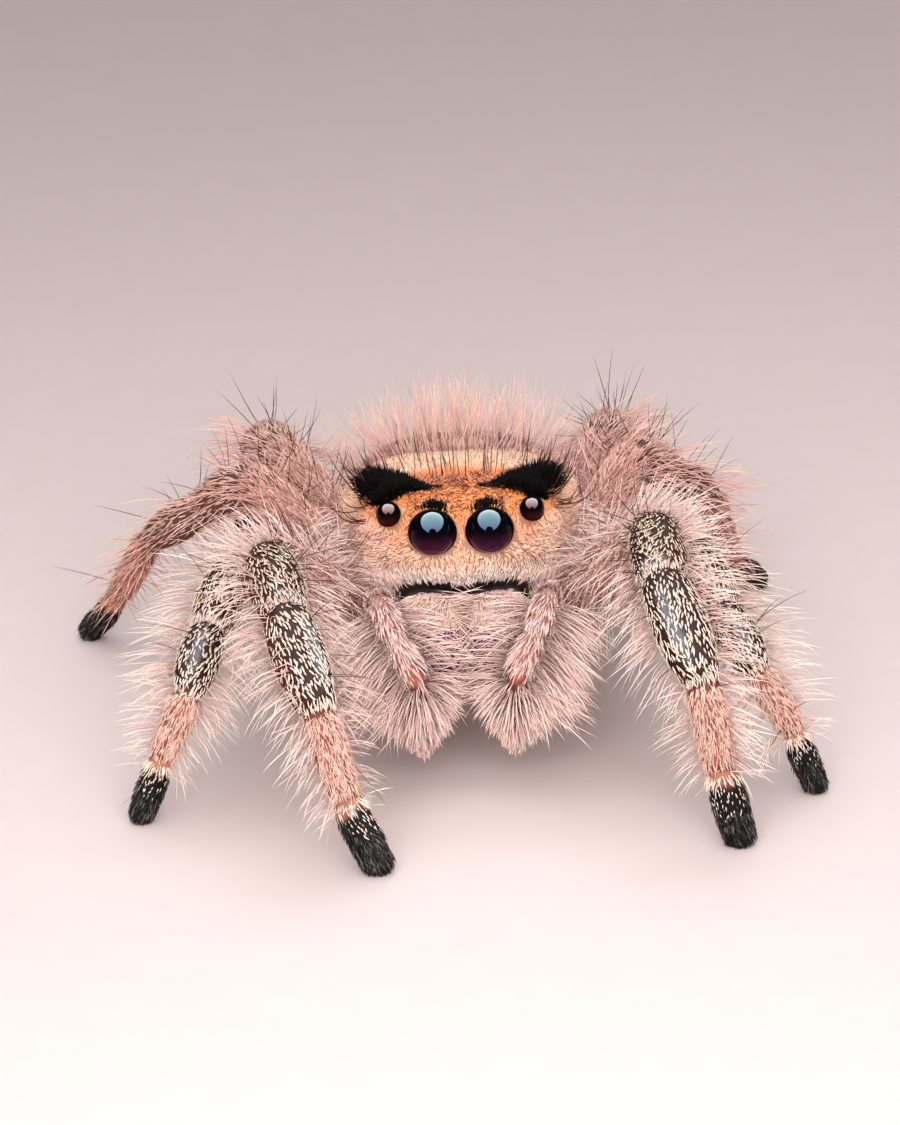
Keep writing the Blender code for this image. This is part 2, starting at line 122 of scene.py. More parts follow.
def mottle(points, size, seed):
    """Mean of nine sine waves of about that size in mm, in random directions: -1 to 1."""
    rng = np.random.default_rng(seed)
    waves = rng.normal(0.0, 1.0, (9, 3)) * (2.2 / size)
    shift = rng.uniform(0.0, 2.0 * math.pi, 9)
    return np.clip(np.sin(points @ waves.T + shift).mean(axis=-1) * 2.0, -1.0, 1.0)


def unit(vectors):
    """Each vector divided by its own length."""
    return vectors / np.maximum(np.linalg.norm(vectors, axis=-1, keepdims=True), 1e-9)


def arrows(x, y, z):
    """Directions from their three parts, each a list or one number for all."""
    return np.stack(np.broadcast_arrays(x, y, z), -1)


def circle(u):
    """Cosine and sine of the turn u, where 1 is once round."""
    return np.cos(2.0 * math.pi * u), np.sin(2.0 * math.pi * u)


def squaring(across, upward, power):
    """Factor that turns a circle into a superellipse: 1 / (|a|^p + |b|^p)^(1/p)."""
    return (np.abs(across) ** power + np.abs(upward) ** power) ** (-1.0 / power)


def side_y_z(points):
    """Distance from the middle plane, then y and z."""
    return np.abs(points[:, 0]), points[:, 1], points[:, 2]


# %% [markdown]
# ## From a function to a mesh
# Every surface here is a function of two numbers: u goes once round the body and v runs
# from one end to the other.  A grid of both gives the corner points, the neighbours in the
# grid give the faces, and the two end rings are closed with a fan of triangles.


# %% Grids and meshes
def closed_surface(surface, rows, sides, colouring):
    """Rings surface(u, v) for v from 0 to 1, closed at both ends; faces look outward
    because the signed volume, the sum of a . (b x c) / 6, is made positive."""
    u, v = np.meshgrid(np.arange(sides) / sides, np.linspace(0.0, 1.0, rows))
    points = surface(u.ravel(), v.ravel())
    count = rows * sides
    points = np.concatenate((points, points[None, :sides].mean(1), points[None, -sides:].mean(1)))
    side = np.arange(sides)
    after = (side + 1) % sides
    row = np.arange(rows - 1)[:, None] * sides
    quads = np.stack((row + side, row + after, row + sides + after, row + sides + side), -1)
    quads = quads.reshape(-1, 4)
    last = count - sides
    fans = np.concatenate((np.stack((after, side, np.full(sides, count)), -1),
                           np.stack((last + side, last + after, np.full(sides, count + 1)), -1)))
    a, b, c = points[np.concatenate((quads[:, :3], quads[:, [0, 2, 3]], fans))].transpose(1, 0, 2)
    if np.einsum("ij,ij->", a, np.cross(b, c)) < 0.0:
        quads, fans = quads[:, ::-1], fans[:, ::-1]
    spot_u = np.append(u.ravel(), (0.0, 0.0))
    spot_v = np.append(v.ravel(), (0.0, 1.0))
    return {"points": points, "quads": quads, "fans": fans, "colour": colouring(points, spot_u, spot_v)}


def put_in_scene(name, data):
    """A new object with that mesh, lamp or camera, linked to the scene."""
    thing = bpy.data.objects.new(name, data)
    bpy.context.scene.collection.objects.link(thing)
    return thing


def add_piece(name, shapes, material, replaced=()):
    """One mesh from several shapes, placed in the frame, riding on the one body."""
    points = np.concatenate([shape["points"] for shape in shapes])
    starts = np.cumsum([0] + [len(shape["points"]) for shape in shapes])
    quads = np.concatenate([shape["quads"] + start for shape, start in zip(shapes, starts)])
    fans = np.concatenate([shape["fans"] + start for shape, start in zip(shapes, starts)])
    corners = np.concatenate((quads.ravel(), fans.ravel())).astype(np.int32)
    first = np.concatenate((np.arange(len(quads)) * 4, len(quads) * 4 + np.arange(len(fans)) * 3))
    mesh = bpy.data.meshes.new(name)
    mesh.vertices.add(len(points))
    mesh.vertices.foreach_set("co", (points * MM + PLAN_ORIGIN).astype(np.float32).ravel())
    mesh.loops.add(len(corners))
    mesh.loops.foreach_set("vertex_index", corners)
    mesh.polygons.add(len(first))
    mesh.polygons.foreach_set("loop_start", first.astype(np.int32))
    mesh.update(calc_edges=True)
    colour = np.concatenate([shape["colour"] for shape in shapes])
    colour = np.column_stack((colour, np.ones(len(colour)))).astype(np.float32)
    mesh.attributes.new("marking", "FLOAT_COLOR", "POINT").data.foreach_set("color", colour.ravel())
    if "patch" in shapes[0]:
        patch = np.concatenate([shape["patch"] for shape in shapes])[corners]
        mesh.uv_layers.new(name="OFBake").data.foreach_set("uv", patch.astype(np.float32).ravel())
    mesh.shade_smooth()
    mesh.materials.append(material)
    piece = put_in_scene(name, mesh)
    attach(piece, "root")
    if replaced:
        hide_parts(*replaced)
    print(f"{name}: {len(quads) * 2 + len(fans)} triangles")


# %% [markdown]
# ## The camera, the floor and the light
# The spider is seen from the front, 20 degrees above the floor, through a long lens, with
# the camera rolled a little.  A long oval soft box hangs overhead and gives the even light.
# A curved glowing panel round the eyes is seen only by glossy surfaces: it gives the round
# bright patch high in each eye, so the eyes gleam without the fur turning white.

# %% Camera
CAMERA_RISE = math.radians(20.0)
CAMERA_ROLL = math.radians(2.3)
CAMERA_DISTANCE = 130.0
VIEW_HEIGHT = 22.5           # mm of the eye plane that fill the height of the picture
VIEW_SHIFT = (0.22, 0.63)    # mm of the eyes from the middle of the picture
SENSOR = 36.0


def add_camera():
    """Stands back from the eyes along the line of sight, moved sideways by the shift."""
    forward = np.array((0.0, math.cos(CAMERA_RISE), -math.sin(CAMERA_RISE)))
    upward = np.array((0.0, math.sin(CAMERA_RISE), math.cos(CAMERA_RISE)))
    across = np.array((1.0, 0.0, 0.0))
    turn = np.array(((math.cos(CAMERA_ROLL), -math.sin(CAMERA_ROLL)),
                     (math.sin(CAMERA_ROLL), math.cos(CAMERA_ROLL))))
    right, top = turn @ np.stack((across, upward))
    shift_right, shift_up = VIEW_SHIFT
    place = (np.array((0.0, 0.0, EYE_LEVEL)) - CAMERA_DISTANCE * forward
             - shift_right * right - shift_up * top)
    lens = bpy.data.cameras.new("camera")
    lens.sensor_width = SENSOR
    lens.sensor_fit = "VERTICAL"
    lens.sensor_height = SENSOR
    lens.lens = SENSOR * CAMERA_DISTANCE / VIEW_HEIGHT
    lens.clip_start = 0.001
    camera = put_in_scene("camera", lens)
    spot = Matrix(np.column_stack((right, top, -forward)).tolist()).to_4x4()
    spot.translation = place * MM + PLAN_ORIGIN
    camera.matrix_world = spot
    bpy.context.scene.camera = camera
    print("camera at (m):", spot.translation, "lens (mm):", lens.lens)


add_camera()
bpy.context.scene.view_settings.view_transform = "Standard"

# %% Shader nodes
def node_material(name):
    """A new material and its nodes, with one Principled shader."""
    material = bpy.data.materials.new(name)
    material.use_nodes = True
    nodes = material.node_tree.nodes
    return material, nodes, material.node_tree.links, nodes["Principled BSDF"]


def set_inputs(node, **values):
    """Sets the inputs of a node by name, with _ for each space in the name."""
    for name, value in values.items():
        node.inputs[name.replace("_", " ")].default_value = value


def add_node(nodes, kind, **values):
    """A new shader node with some of its inputs set."""
    node = nodes.new("ShaderNode" + kind)
    set_inputs(node, **values)
    return node


def join(links, *wires):
    """Links nodes.  A wire is a node, its output, the next node and its input."""
    for source, output, target, socket in wires:
        links.new(source.outputs[output], target.inputs[socket])


# %% Soft light
SOFT_BOX_SIZE = (150.0, 270.0)      # across and along the spider
SOFT_BOX_PLACE = (0.0, -72.0, 72.0)
FILL_SIZE = (150.0, 90.0)
FILL_PLACE = (0.0, -130.0, 62.0)
CAP_SIDES = 48
CAP_RINGS = 10
WARM_SKY = (1.0, 0.92, 0.90, 1.0)
SKY_STRENGTH = 0.42


def add_soft_box(name, place, size, power, aim):
    """An oval area light at a place, facing a point, and unseen by glossy surfaces."""
    lamp = bpy.data.lights.new(name, "AREA")
    lamp.shape = "ELLIPSE"
    lamp.size, lamp.size_y = size[0] * MM, size[1] * MM
    lamp.energy = power
    box = put_in_scene(name, lamp)
    box.location = np.array(place) * MM + PLAN_ORIGIN
    box.rotation_euler = Vector(np.array(aim) - np.array(place)).to_track_quat("-Z", "Y").to_euler()
    box.visible_glossy = False


def add_glossy_cap(name, rise, half_up, half_side, distance, glow):
    """Part of a ball round the eyes that only mirror-like surfaces see.  A point is at the
    angle r sqrt((side cos a)^2 + (up sin a)^2) from the middle of the cap, r from 0 to 1."""
    turn, part = np.meshgrid(np.linspace(0.0, 2.0 * math.pi, CAP_SIDES, endpoint=False),
                             np.linspace(0.1, 1.0, CAP_RINGS))
    sideways = part.ravel() * math.radians(half_side) * np.cos(turn.ravel())
    upward = part.ravel() * math.radians(half_up) * np.sin(turn.ravel())
    angle = np.hypot(sideways, upward)
    lean = math.radians(rise)
    middle = np.array((0.0, -math.cos(lean), math.sin(lean)))
    top = np.array((0.0, math.sin(lean), math.cos(lean)))
    shift = sideways[:, None] * np.array((1.0, 0.0, 0.0)) + upward[:, None] * top
    points = np.cos(angle)[:, None] * middle + (np.sin(angle) / angle)[:, None] * shift
    points = np.array((0.0, 0.0, EYE_LEVEL)) + distance * np.vstack((points, middle))
    here = range(CAP_SIDES)
    after = [(k + 1) % CAP_SIDES for k in here]
    faces = [(ring + k, ring + after[k], ring + CAP_SIDES + after[k], ring + CAP_SIDES + k)
             for ring in range(0, (CAP_RINGS - 1) * CAP_SIDES, CAP_SIDES) for k in here]
    faces += [(CAP_RINGS * CAP_SIDES, after[k], k) for k in here]
    mesh = bpy.data.meshes.new(name)
    mesh.from_pydata((points * MM + PLAN_ORIGIN).tolist(), [], faces)
    material, _, _, shader = node_material(name)
    set_inputs(shader, Base_Color=(0.0, 0.0, 0.0, 1.0), Specular_IOR_Level=0.0,
               Emission_Color=(1.0, 1.0, 1.0, 1.0), Emission_Strength=glow)
    mesh.materials.append(material)
    cap = put_in_scene(name, mesh)
    cap.visible_camera = cap.visible_diffuse = cap.visible_shadow = False
    cap.visible_transmission = cap.visible_volume_scatter = False


add_soft_box("soft_box", SOFT_BOX_PLACE, SOFT_BOX_SIZE, power=0.118, aim=(0.0, -20.0, 0.0))
add_soft_box("front_fill", FILL_PLACE, FILL_SIZE, power=0.250, aim=(0.0, 2.0, 3.0))
add_glossy_cap("soft_box_glow", rise=75.0, half_up=61.0, half_side=50.0, distance=70.0, glow=17.0)
add_glossy_cap("lens_shadow", rise=21.0, half_up=16.0, half_side=18.0, distance=55.0, glow=0.0)

world = bpy.data.worlds.new("studio")
world.use_nodes = True
set_inputs(world.node_tree.nodes["Background"], Color=WARM_SKY, Strength=SKY_STRENGTH)
bpy.context.scene.world = world
world.cycles_visibility.glossy = False

# %% Floor
FLOOR_HALF_WIDTH = 1.0      # m


def add_floor():
    """A square sheet at the height of the toes, with a faint paper grain."""
    mesh = bpy.data.meshes.new("floor")
    corners = [(x * FLOOR_HALF_WIDTH, y * FLOOR_HALF_WIDTH, 0.0)
               for x, y in ((-1.0, -1.0), (1.0, -1.0), (1.0, 1.0), (-1.0, 1.0))]
    mesh.from_pydata(corners, [], [(0, 1, 2, 3)])
    material, nodes, links, shader = node_material("pale_paper")
    set_inputs(shader, Roughness=0.55, Specular_IOR_Level=0.25)
    place = add_node(nodes, "TexCoord")
    grain = add_node(nodes, "TexNoise", Scale=900.0)
    tint = add_node(nodes, "MixRGB", Color1=(*paint(199, 183, 180), 1.0),
                    Color2=(*paint(203, 188, 185), 1.0))
    join(links, (place, "Object", grain, "Vector"), (grain, "Fac", tint, "Fac"),
         (tint, "Color", shader, "Base Color"))
    mesh.materials.append(material)
    put_in_scene("floor", mesh)


add_floor()

# %% [markdown]
# ## The finishes of skin and hair
# Skin and hair read their colour from an attribute called "marking" that is worked out with
# each mesh, so a marking runs on from the skin into the coat.  Noise on the object's own
# coordinates breaks the colour up, and on the skin it also makes the fine pits of the shell.


# %% Skin and coat materials
DENT_DEPTH = 0.02


def marked_material(name, roughness, gloss, grain_size, variation, bump=0.0):
    """marking x (1 - variation + 2 variation x noise), over a shader with that gloss."""
    material, nodes, links, shader = node_material(name)
    set_inputs(shader, Roughness=roughness, Specular_IOR_Level=gloss)
    marking = add_node(nodes, "Attribute")
    marking.attribute_name = "marking"
    place = add_node(nodes, "TexCoord")
    grain = add_node(nodes, "TexNoise", Scale=1.0 / (grain_size * MM), Detail=2.0)
    strength = add_node(nodes, "MapRange", From_Min=0.3, From_Max=0.7,
                        To_Min=1.0 - variation, To_Max=1.0 + variation)
    shade = add_node(nodes, "VectorMath")
    shade.operation = "SCALE"
    join(links, (place, "Object", grain, "Vector"), (grain, "Fac", strength, "Value"),
         (marking, "Color", shade, "Vector"), (strength, "Result", shade, "Scale"),
         (shade, "Vector", shader, "Base Color"))
    if bump:
        dent = add_node(nodes, "Bump", Strength=bump, Distance=DENT_DEPTH * MM)
        join(links, (grain, "Fac", dent, "Height"), (dent, "Normal", shader, "Normal"))
    return material


SHELL_SKIN = marked_material("shell_skin", 0.55, 0.35, 0.05, 0.18, bump=0.5)
LEG_SKIN = marked_material("leg_skin", 0.7, 0.06, 0.06, 0.22, bump=0.6)
SOFT_HAIR = marked_material("soft_hair", 0.55, 0.20, 0.25, 0.06)
FLAT_SCALE = marked_material("flat_scale", 0.45, 0.30, 0.2, 0.08)
BLACK_HAIR = marked_material("black_hair", 0.9, 0.02, 0.2, 0.2)
DARK_BRISTLE = marked_material("dark_bristle", 0.5, 0.12, 0.3, 0.15)

# %% [markdown]
# ## Growing hair
# A hair is a thin three-sided spike that bends from one direction into another.  Broad and
# flat, the same spike is a scale.  The roots are spread evenly over a surface by sharing the
# wanted number among small cells by their area, then moving each root inside its cell.  All
# the hairs of a coat are computed together, as whole arrays.


# %% Roots
STEP = 0.002            # of u and v, for the differences that give directions
CELLS = (260, 220)      # round and along, to share the roots out
RING_PROBES = 48        # points round a tube, to measure its girth


def spots_on(surface, u, v):
    """Point, outward normal, directions round and along, and area per unit of u and v, from
    differences over a small step."""
    v = np.clip(v, STEP, 1.0 - STEP)
    point = surface(u, v)
    around = (surface(u + STEP, v) - surface(u - STEP, v)) / (2.0 * STEP)
    along = (surface(u, v + STEP) - surface(u, v - STEP)) / (2.0 * STEP)
    cross = np.cross(along, around)
    return {"point": point, "normal": unit(cross), "around": unit(around), "along": unit(along),
            "area": np.linalg.norm(cross, axis=-1), "u": u % 1.0, "v": v}


def scatter(surface, count, where, rng):
    """Roots whose density follows where(spots): each small cell gets its share of the
    count, rounded up or down by chance."""
    u, v = np.meshgrid((np.arange(CELLS[0]) + 0.5) / CELLS[0], (np.arange(CELLS[1]) + 0.5) / CELLS[1])
    spots = spots_on(surface, u.ravel(), v.ravel())
    share = spots["area"] * np.maximum(where(spots), 0.0)
    share = share * (count / share.sum())
    number = np.floor(share + rng.random(share.shape)).astype(int)
    u = np.repeat(u.ravel(), number)
    v = np.repeat(v.ravel(), number)
    u = u + (rng.random(len(u)) - 0.5) / CELLS[0]
    v = v + (rng.random(len(v)) - 0.5) / CELLS[1]
    return spots_on(surface, u, v)


def laid_in_rows(surface, length, gap, where, rng):
    """Roots in staggered rows like roof tiles, for a tube of that length: `gap` mm apart
    round the tube and 0.8 gap along it.  A place is kept with the chance where(spots)."""
    rows = int(length / (0.8 * gap))
    turns = np.tile(np.arange(RING_PROBES) / RING_PROBES, rows)
    ring = surface(turns, np.repeat((np.arange(rows) + 0.5) / rows, RING_PROBES))
    ring = ring.reshape(rows, RING_PROBES, 3)
    girth = np.linalg.norm(ring - np.roll(ring, 1, axis=1), axis=-1).sum(1)
    number = np.maximum(4, np.round(girth / gap).astype(int))
    row = np.repeat(np.arange(rows), number)
    place = np.arange(len(row)) - np.repeat(np.cumsum(number) - number, number)
    u = (place + 0.5 * (row % 2) + rng.uniform(-0.26, 0.26, len(row))) / number[row]
    v = (row + 0.5 + rng.uniform(-0.4, 0.4, len(row))) / rows
    spots = spots_on(surface, u, v)
    keep = rng.random(len(u)) < where(spots)
    return {key: value[keep] for key, value in spots.items()}


# %% Spikes
FLOOR_SKIM = 0.02     # lowest height of a hair that reaches the floor
PATCH = 0.003         # width of a hair's patch on the map
MAP_EDGE = 0.002


def spikes(root, start, finish, length, width, normal, colours, place, rings=2, flat=0.4, widest=0.4):
    """p(t) = root + length (t start + t^2 (finish - start) / 2).  The three corners of each
    ring lie at 90, 210 and 330 degrees, width sin(pi t^g) across and flat times as thick,
    with g chosen so that the widest ring is at `widest`.  A hair has 6 triangles per ring."""
    t = np.linspace(0.0, 1.0, rings + 2)
    bend = finish - start
    spine = root[:, None] + length[:, None, None] * (
        t[None, :, None] * start[:, None] + 0.5 * t[None, :, None] ** 2 * bend[:, None])
    tangent = unit(start[:, None] + t[None, :, None] * bend[:, None])
    side = unit(np.cross(tangent, normal[:, None]))
    rise = np.cross(side, tangent)
    size = np.sin(math.pi * t[1:-1] ** (math.log(0.5) / math.log(widest))) ** 0.75
    corner = np.radians((90.0, 210.0, 330.0))
    half = 0.5 * width[:, None, None, None] * size[None, :, None, None]
    ring = spine[:, 1:-1, None] + half * (
        np.cos(corner)[None, None, :, None] * side[:, 1:-1, None]
        + flat * np.sin(corner)[None, None, :, None] * rise[:, 1:-1, None])
    count = len(root)
    points = np.concatenate((spine[:, :1], ring.reshape(count, -1, 3), spine[:, -1:]), axis=1)
    step = np.concatenate(((0.0,), np.repeat(t[1:-1], 3), (1.0,)))
    across = np.concatenate(((0.0,), np.tile(np.cos(corner), rings), (0.0,)))
    # Each hair runs from its root colour to its tip colour; the darker roots given by the colourings are
    # painted shade of the gaps between hairs.
    colour = mix(colours[0][:, None], colours[1][:, None], np.broadcast_to(step ** 0.8, points.shape[:2]))
    patch = (np.clip(place, MAP_EDGE, 1.0 - MAP_EDGE)[:, None]
             + PATCH * np.column_stack((across * 0.5, step - 0.5)))
    here = np.arange(3)
    after = (here + 1) % 3
    last = 1 + 3 * (rings - 1)
    fans = np.concatenate((np.column_stack((np.zeros(3), 1 + here, 1 + after)),
                           np.column_stack((last + here, np.full(3, last + 3), last + after)))).astype(int)
    quads = np.concatenate([np.column_stack((first + here, first + 3 + here, first + 3 + after,
                                             first + after)) for first in range(1, last, 3)])
    offset = np.arange(count)[:, None, None] * (last + 4)
    points = points.reshape(-1, 3)
    low = points[:, 2] < FLOOR_SKIM
    points[low, 2] = FLOOR_SKIM * (0.3 + 0.6 * np.abs(np.sin(points[low, 0] * 91.0)))
    return {"points": points, "quads": (quads + offset).reshape(-1, 4),
            "fans": (fans + offset).reshape(-1, 3), "colour": colour.reshape(-1, 3),
            "patch": patch.reshape(-1, 2)}


# %% Combing and growing
ROOT_DEPTH = 0.02


def combed(spots, lie, lift, rng, spread):
    """The lie pressed onto the surface, turned by a random angle about the normal, and
    tilted up: by lift[0] degrees at the root and lift[1] at the tip."""
    normal = spots["normal"]
    flow = np.broadcast_to(lie(spots), normal.shape)
    flat = unit(flow - (flow * normal).sum(-1, keepdims=True) * normal)
    turn = rng.normal(0.0, spread, len(flow))[:, None]
    flat = flat * np.cos(turn) + np.cross(normal, flat) * np.sin(turn)
    wobble = rng.normal(1.0, 0.25, (len(flow), 1))
    low, high = np.radians(lift[0]) * wobble, np.radians(lift[1]) * wobble
    return flat * np.cos(low) + normal * np.sin(low), flat * np.cos(high) + normal * np.sin(high)


def grow(surface, count, seed, where, lie, colouring, length, width, lift=(25, 5), spread=0.2,
         rings=2, flat=0.4, widest=0.4, tile=(0.0, 1.0), stretch=None, slim=None, in_rows=None):
    """Hair on a surface, as spikes.  The lie is combed flat and lifted; where lift is None,
    lie(spots) gives the directions of root and tip themselves.  Length and width are ranges
    in mm, scaled by stretch(spots) and slim(spots).  The tile is the part of the map it fills.
    With in_rows, a pair of tube length and gap, the roots stand in rows."""
    rng = np.random.default_rng(seed)
    if in_rows is None:
        spots = scatter(surface, count, where, rng)
    else:
        spots = laid_in_rows(surface, *in_rows, where, rng)
    number, normal = len(spots["u"]), spots["normal"]
    if lift is None:
        start, finish = (unit(way + rng.normal(0.0, spread, normal.shape)) for way in lie(spots))
    else:
        start, finish = combed(spots, lie, lift, rng, spread)
    reach = rng.uniform(*length, number)
    if stretch is not None:
        reach = reach * stretch(spots)
    breadth = rng.uniform(*width, number)
    if slim is not None:
        breadth = breadth * slim(spots)
    place = np.column_stack((tile[0] + (tile[1] - tile[0]) * spots["u"], spots["v"]))
    return spikes(spots["point"] - ROOT_DEPTH * normal, start, finish, reach, breadth, normal,
                  colouring(spots, rng), place, rings, flat, widest)


def toned(colour, rng, amount=0.12):
    """The same colour, a little lighter or darker from hair to hair."""
    return colour * (1.0 + rng.uniform(-amount, amount, (len(colour), 1)))


def one_tone(colour, spots, rng, amount=0.12):
    """One colour for all the hairs, toned."""
    return toned(np.tile(colour, (len(spots["u"]), 1)), rng, amount)


def on_side(rule, side):
    """A rule for one side of the spider: it is given the spots, the sign of the side and the
    distance of each spot from the middle plane towards that side."""
    sign = SIDES[side]
    return lambda spots: rule(spots, sign, sign * spots["point"][:, 0])


# %% [markdown]
# ## The shape of head, thorax and abdomen
# The front body is one hard shield and the abdomen a soft bag.  Both are drawn as a row of
# cross-sections: two half superellipses, one above and one below the widest line.  The skin
# lies inside the solid model by the depth of the short coat, so the hair tips end where the
# solid does.

# %% Cross-sections of the body
FACE_Y = -0.12
CARAPACE_MIDDLE_Y = 2.6
CARAPACE_REAR_Y = 5.95
HEAD_HALF_WIDTH = 2.22
THORAX_HALF_WIDTH = 2.52
HEAD_TOP_Z = 5.85
CLYPEUS_Z = 3.86
BELLY_Z = 2.62
CARAPACE_POWER = (3.0, 2.4)
ABDOMEN_FRONT_Y = 6.15
ABDOMEN_MIDDLE_Y = 9.4
ABDOMEN_REAR_Y = 13.1
ABDOMEN_HALF_WIDTH = 2.45
ABDOMEN_TOP_Z = 3.95
ABDOMEN_BOTTOM_Z = 0.70
ABDOMEN_POWER = (2.4, 2.1)
FACE_COAT = 0.09      # depth of the coat on the shield
ABDOMEN_COAT = 0.16


def closing(distance, length, power):
    """Grows from 0 at an end of the body to 1 at `length` from it, as a superellipse."""
    t = 1.0 - np.clip(distance / length, 0.0, 1.0)
    return (1.0 - t ** power) ** (1.0 / power)


def carapace_section(y):
    """Half width, height of the widest line, rise above it and drop below it, at y."""
    front = y - FACE_Y - FACE_COAT
    rear = CARAPACE_REAR_Y - FACE_COAT - y
    width = HEAD_HALF_WIDTH + (THORAX_HALF_WIDTH - HEAD_HALF_WIDTH) * blend(0.8, 3.0, y)
    width = (width - FACE_COAT) * closing(front, 1.8, 2.4) * closing(rear, 2.9, 2.2)
    centre = 4.85 - 0.70 * blend(0.2, 2.0, y) - 0.80 * blend(3.4, 5.9, y)
    slope = np.clip((y - 2.4) / 3.5, 0.0, 1.0)
    top = HEAD_TOP_Z - FACE_COAT - 0.08 * (1.0 - blend(-0.1, 1.0, y)) - 2.05 * slope ** 1.8
    bottom = CLYPEUS_Z - (CLYPEUS_Z - BELLY_Z) * blend(0.3, 1.5, y) + 0.35 * blend(4.6, 5.9, y)
    height = closing(front, 0.9, 3.2) * closing(rear, 1.2, 2.2)
    return width, centre, (top - centre) * height, (centre - bottom - FACE_COAT * 0.6) * height


def abdomen_section(y):
    """The same four sizes for the abdomen, whose back slopes down to the rear."""
    front = y - ABDOMEN_FRONT_Y - ABDOMEN_COAT
    rear = ABDOMEN_REAR_Y + 0.15 - ABDOMEN_COAT - y
    width = (ABDOMEN_HALF_WIDTH - ABDOMEN_COAT) * closing(front, 3.6, 2.2) * closing(rear, 4.2, 2.1)
    centre = 2.60 - 0.35 * blend(8.0, 13.0, y)
    top = ABDOMEN_TOP_Z - ABDOMEN_COAT - 0.60 * blend(8.0, 12.8, y)
    height = closing(front, 2.2, 2.3) * closing(rear, 3.4, 2.1)
    return width, centre, (top - centre) * height, (centre - ABDOMEN_BOTTOM_Z - ABDOMEN_COAT) * height


def body_surface(section, powers, start, middle, end):
    """y = middle - half cos(pi v), and in that plane a point at the turn u: width cos, and
    rise or drop times sin, both divided by (|cos|^p + |sin|^p)^(1/p)."""
    def surface(u, v):
        v = np.clip(v, 0.004, 0.996)
        half = np.where(v < 0.5, middle - start, end - middle)
        y = middle - half * np.cos(math.pi * v)
        width, centre, rise, drop = section(y)
        across, upward = circle(u)
        power = np.where(upward > 0.0, powers[0], powers[1])
        reach = squaring(across, upward, power)
        height = np.where(upward > 0.0, rise, drop)
        return np.stack((width * across * reach, y, centre + height * upward * reach), -1)
    return surface


head_surface = body_surface(carapace_section, CARAPACE_POWER, FACE_Y + FACE_COAT, CARAPACE_MIDDLE_Y,
                            CARAPACE_REAR_Y - FACE_COAT)
abdomen_surface = body_surface(abdomen_section, ABDOMEN_POWER, ABDOMEN_FRONT_Y + ABDOMEN_COAT,
                               ABDOMEN_MIDDLE_Y, ABDOMEN_REAR_Y + 0.15 - ABDOMEN_COAT)


# %% [markdown]
# ## Eyes
# A jumping spider has eight simple eyes.  Each is a clear lens bulging from the shell, nearly
# black, with a thin brown rim.  The front pair looks blue-green where it mirrors the light
# and violet below, partly from its tinted mirror image of the floor and partly from a painted
# reflection of the floor in the lower half of the glass.  The lens is a ball of rings about
# its own line of sight, and the rim is a thin ring carried around it.

# %% Eye places
EYES = {     # x, y, z and radius, then the line of sight of the left eye
    "front_middle": (0.57, 0.00, 5.08, 0.47, (0.04, -1.0, 0.02)),
    "front_side": (1.44, 0.30, 5.39, 0.25, (0.36, -0.80, 0.48)),
    "small_middle": (1.66, 1.00, 5.63, 0.10, (0.42, -0.20, 0.88)),
    "rear_side": (1.84, 2.40, 5.47, 0.19, (0.57, 0.00, 0.82)),
}


def eye_of(kind, side):
    """Centre, radius and line of sight of one eye of the pair."""
    x, y, z, radius, sight = EYES[kind]
    return (np.array((SIDES[side] * x, y, z)), radius,
            unit(np.array((SIDES[side] * sight[0], sight[1], sight[2]))))


def clear_of_eyes(points, gap):
    """1 outside all eyes, 0 nearer than the gap to the edge of one."""
    clear = np.ones(len(points))
    for kind in EYES:
        for side in SIDES:
            centre, radius, _ = eye_of(kind, side)
            clear = clear * (np.linalg.norm(points - centre, axis=-1) > radius + gap)
    return clear


# %% Lens and rim
LENS_ROUGHNESS = 0.03
LENS_INDEX = 1.46
BALL_GRID = (40, 56)
RIM_GRID = (48, 10)
RIM_THICKNESS = 0.045       # half thickness of the rim and its place, in radii of the lens
RIM_PLACE = 0.05
BLACK_GLASS = paint(6, 4, 8)


def lens_material(name, lower, mirror_upper, mirror_lower, level):
    """Dark glass, painted with the colour lower in its lower half as a painted reflection of the floor and
    black above, and a mirror tint that changes from below to above the middle.
    """
    material, nodes, links, shader = node_material(name)
    set_inputs(shader, Roughness=LENS_ROUGHNESS, IOR=LENS_INDEX)
    mirror = add_node(nodes, "Attribute")
    mirror.attribute_name = "marking"
    place, split = add_node(nodes, "TexCoord"), add_node(nodes, "SeparateXYZ")
    height = add_node(nodes, "MapRange", From_Min=(level[0] - level[1]) * MM,
                      From_Max=(level[0] + level[1]) * MM)
    join(links, (mirror, "Fac", shader, "Specular IOR Level"), (place, "Object", split, "Vector"),
         (split, "Z", height, "Value"))
    # The base colour is lower below the middle and black above: a painted reflection of the floor in the
    # lower half of the lens.
    depth = ((0.16, lower), (0.58, BLACK_GLASS))
    tint = ((0.60, 0.6 * lower), (0.90, mirror_upper), (0.66, mirror_lower))
    for socket, steps in (("Base Color", depth), ("Specular Tint", tint)):
        colours = add_node(nodes, "ValToRGB")
        ramp = colours.color_ramp.elements
        for index, (position, colour) in enumerate(steps):
            stop = ramp[index] if index < 2 else ramp.new(position)
            stop.position, stop.color = position, (*colour, 1.0)
        join(links, (height, "Result", colours, "Fac"), (colours, "Color", shader, socket))
    return material


def eye_frame(kind, side):
    """Centre, radius, line of sight and the directions across and up from it."""
    centre, radius, sight = eye_of(kind, side)
    across = unit(np.cross(sight, (0.0, 0.0, 1.0)))
    return centre, radius, sight, across, np.cross(across, sight)


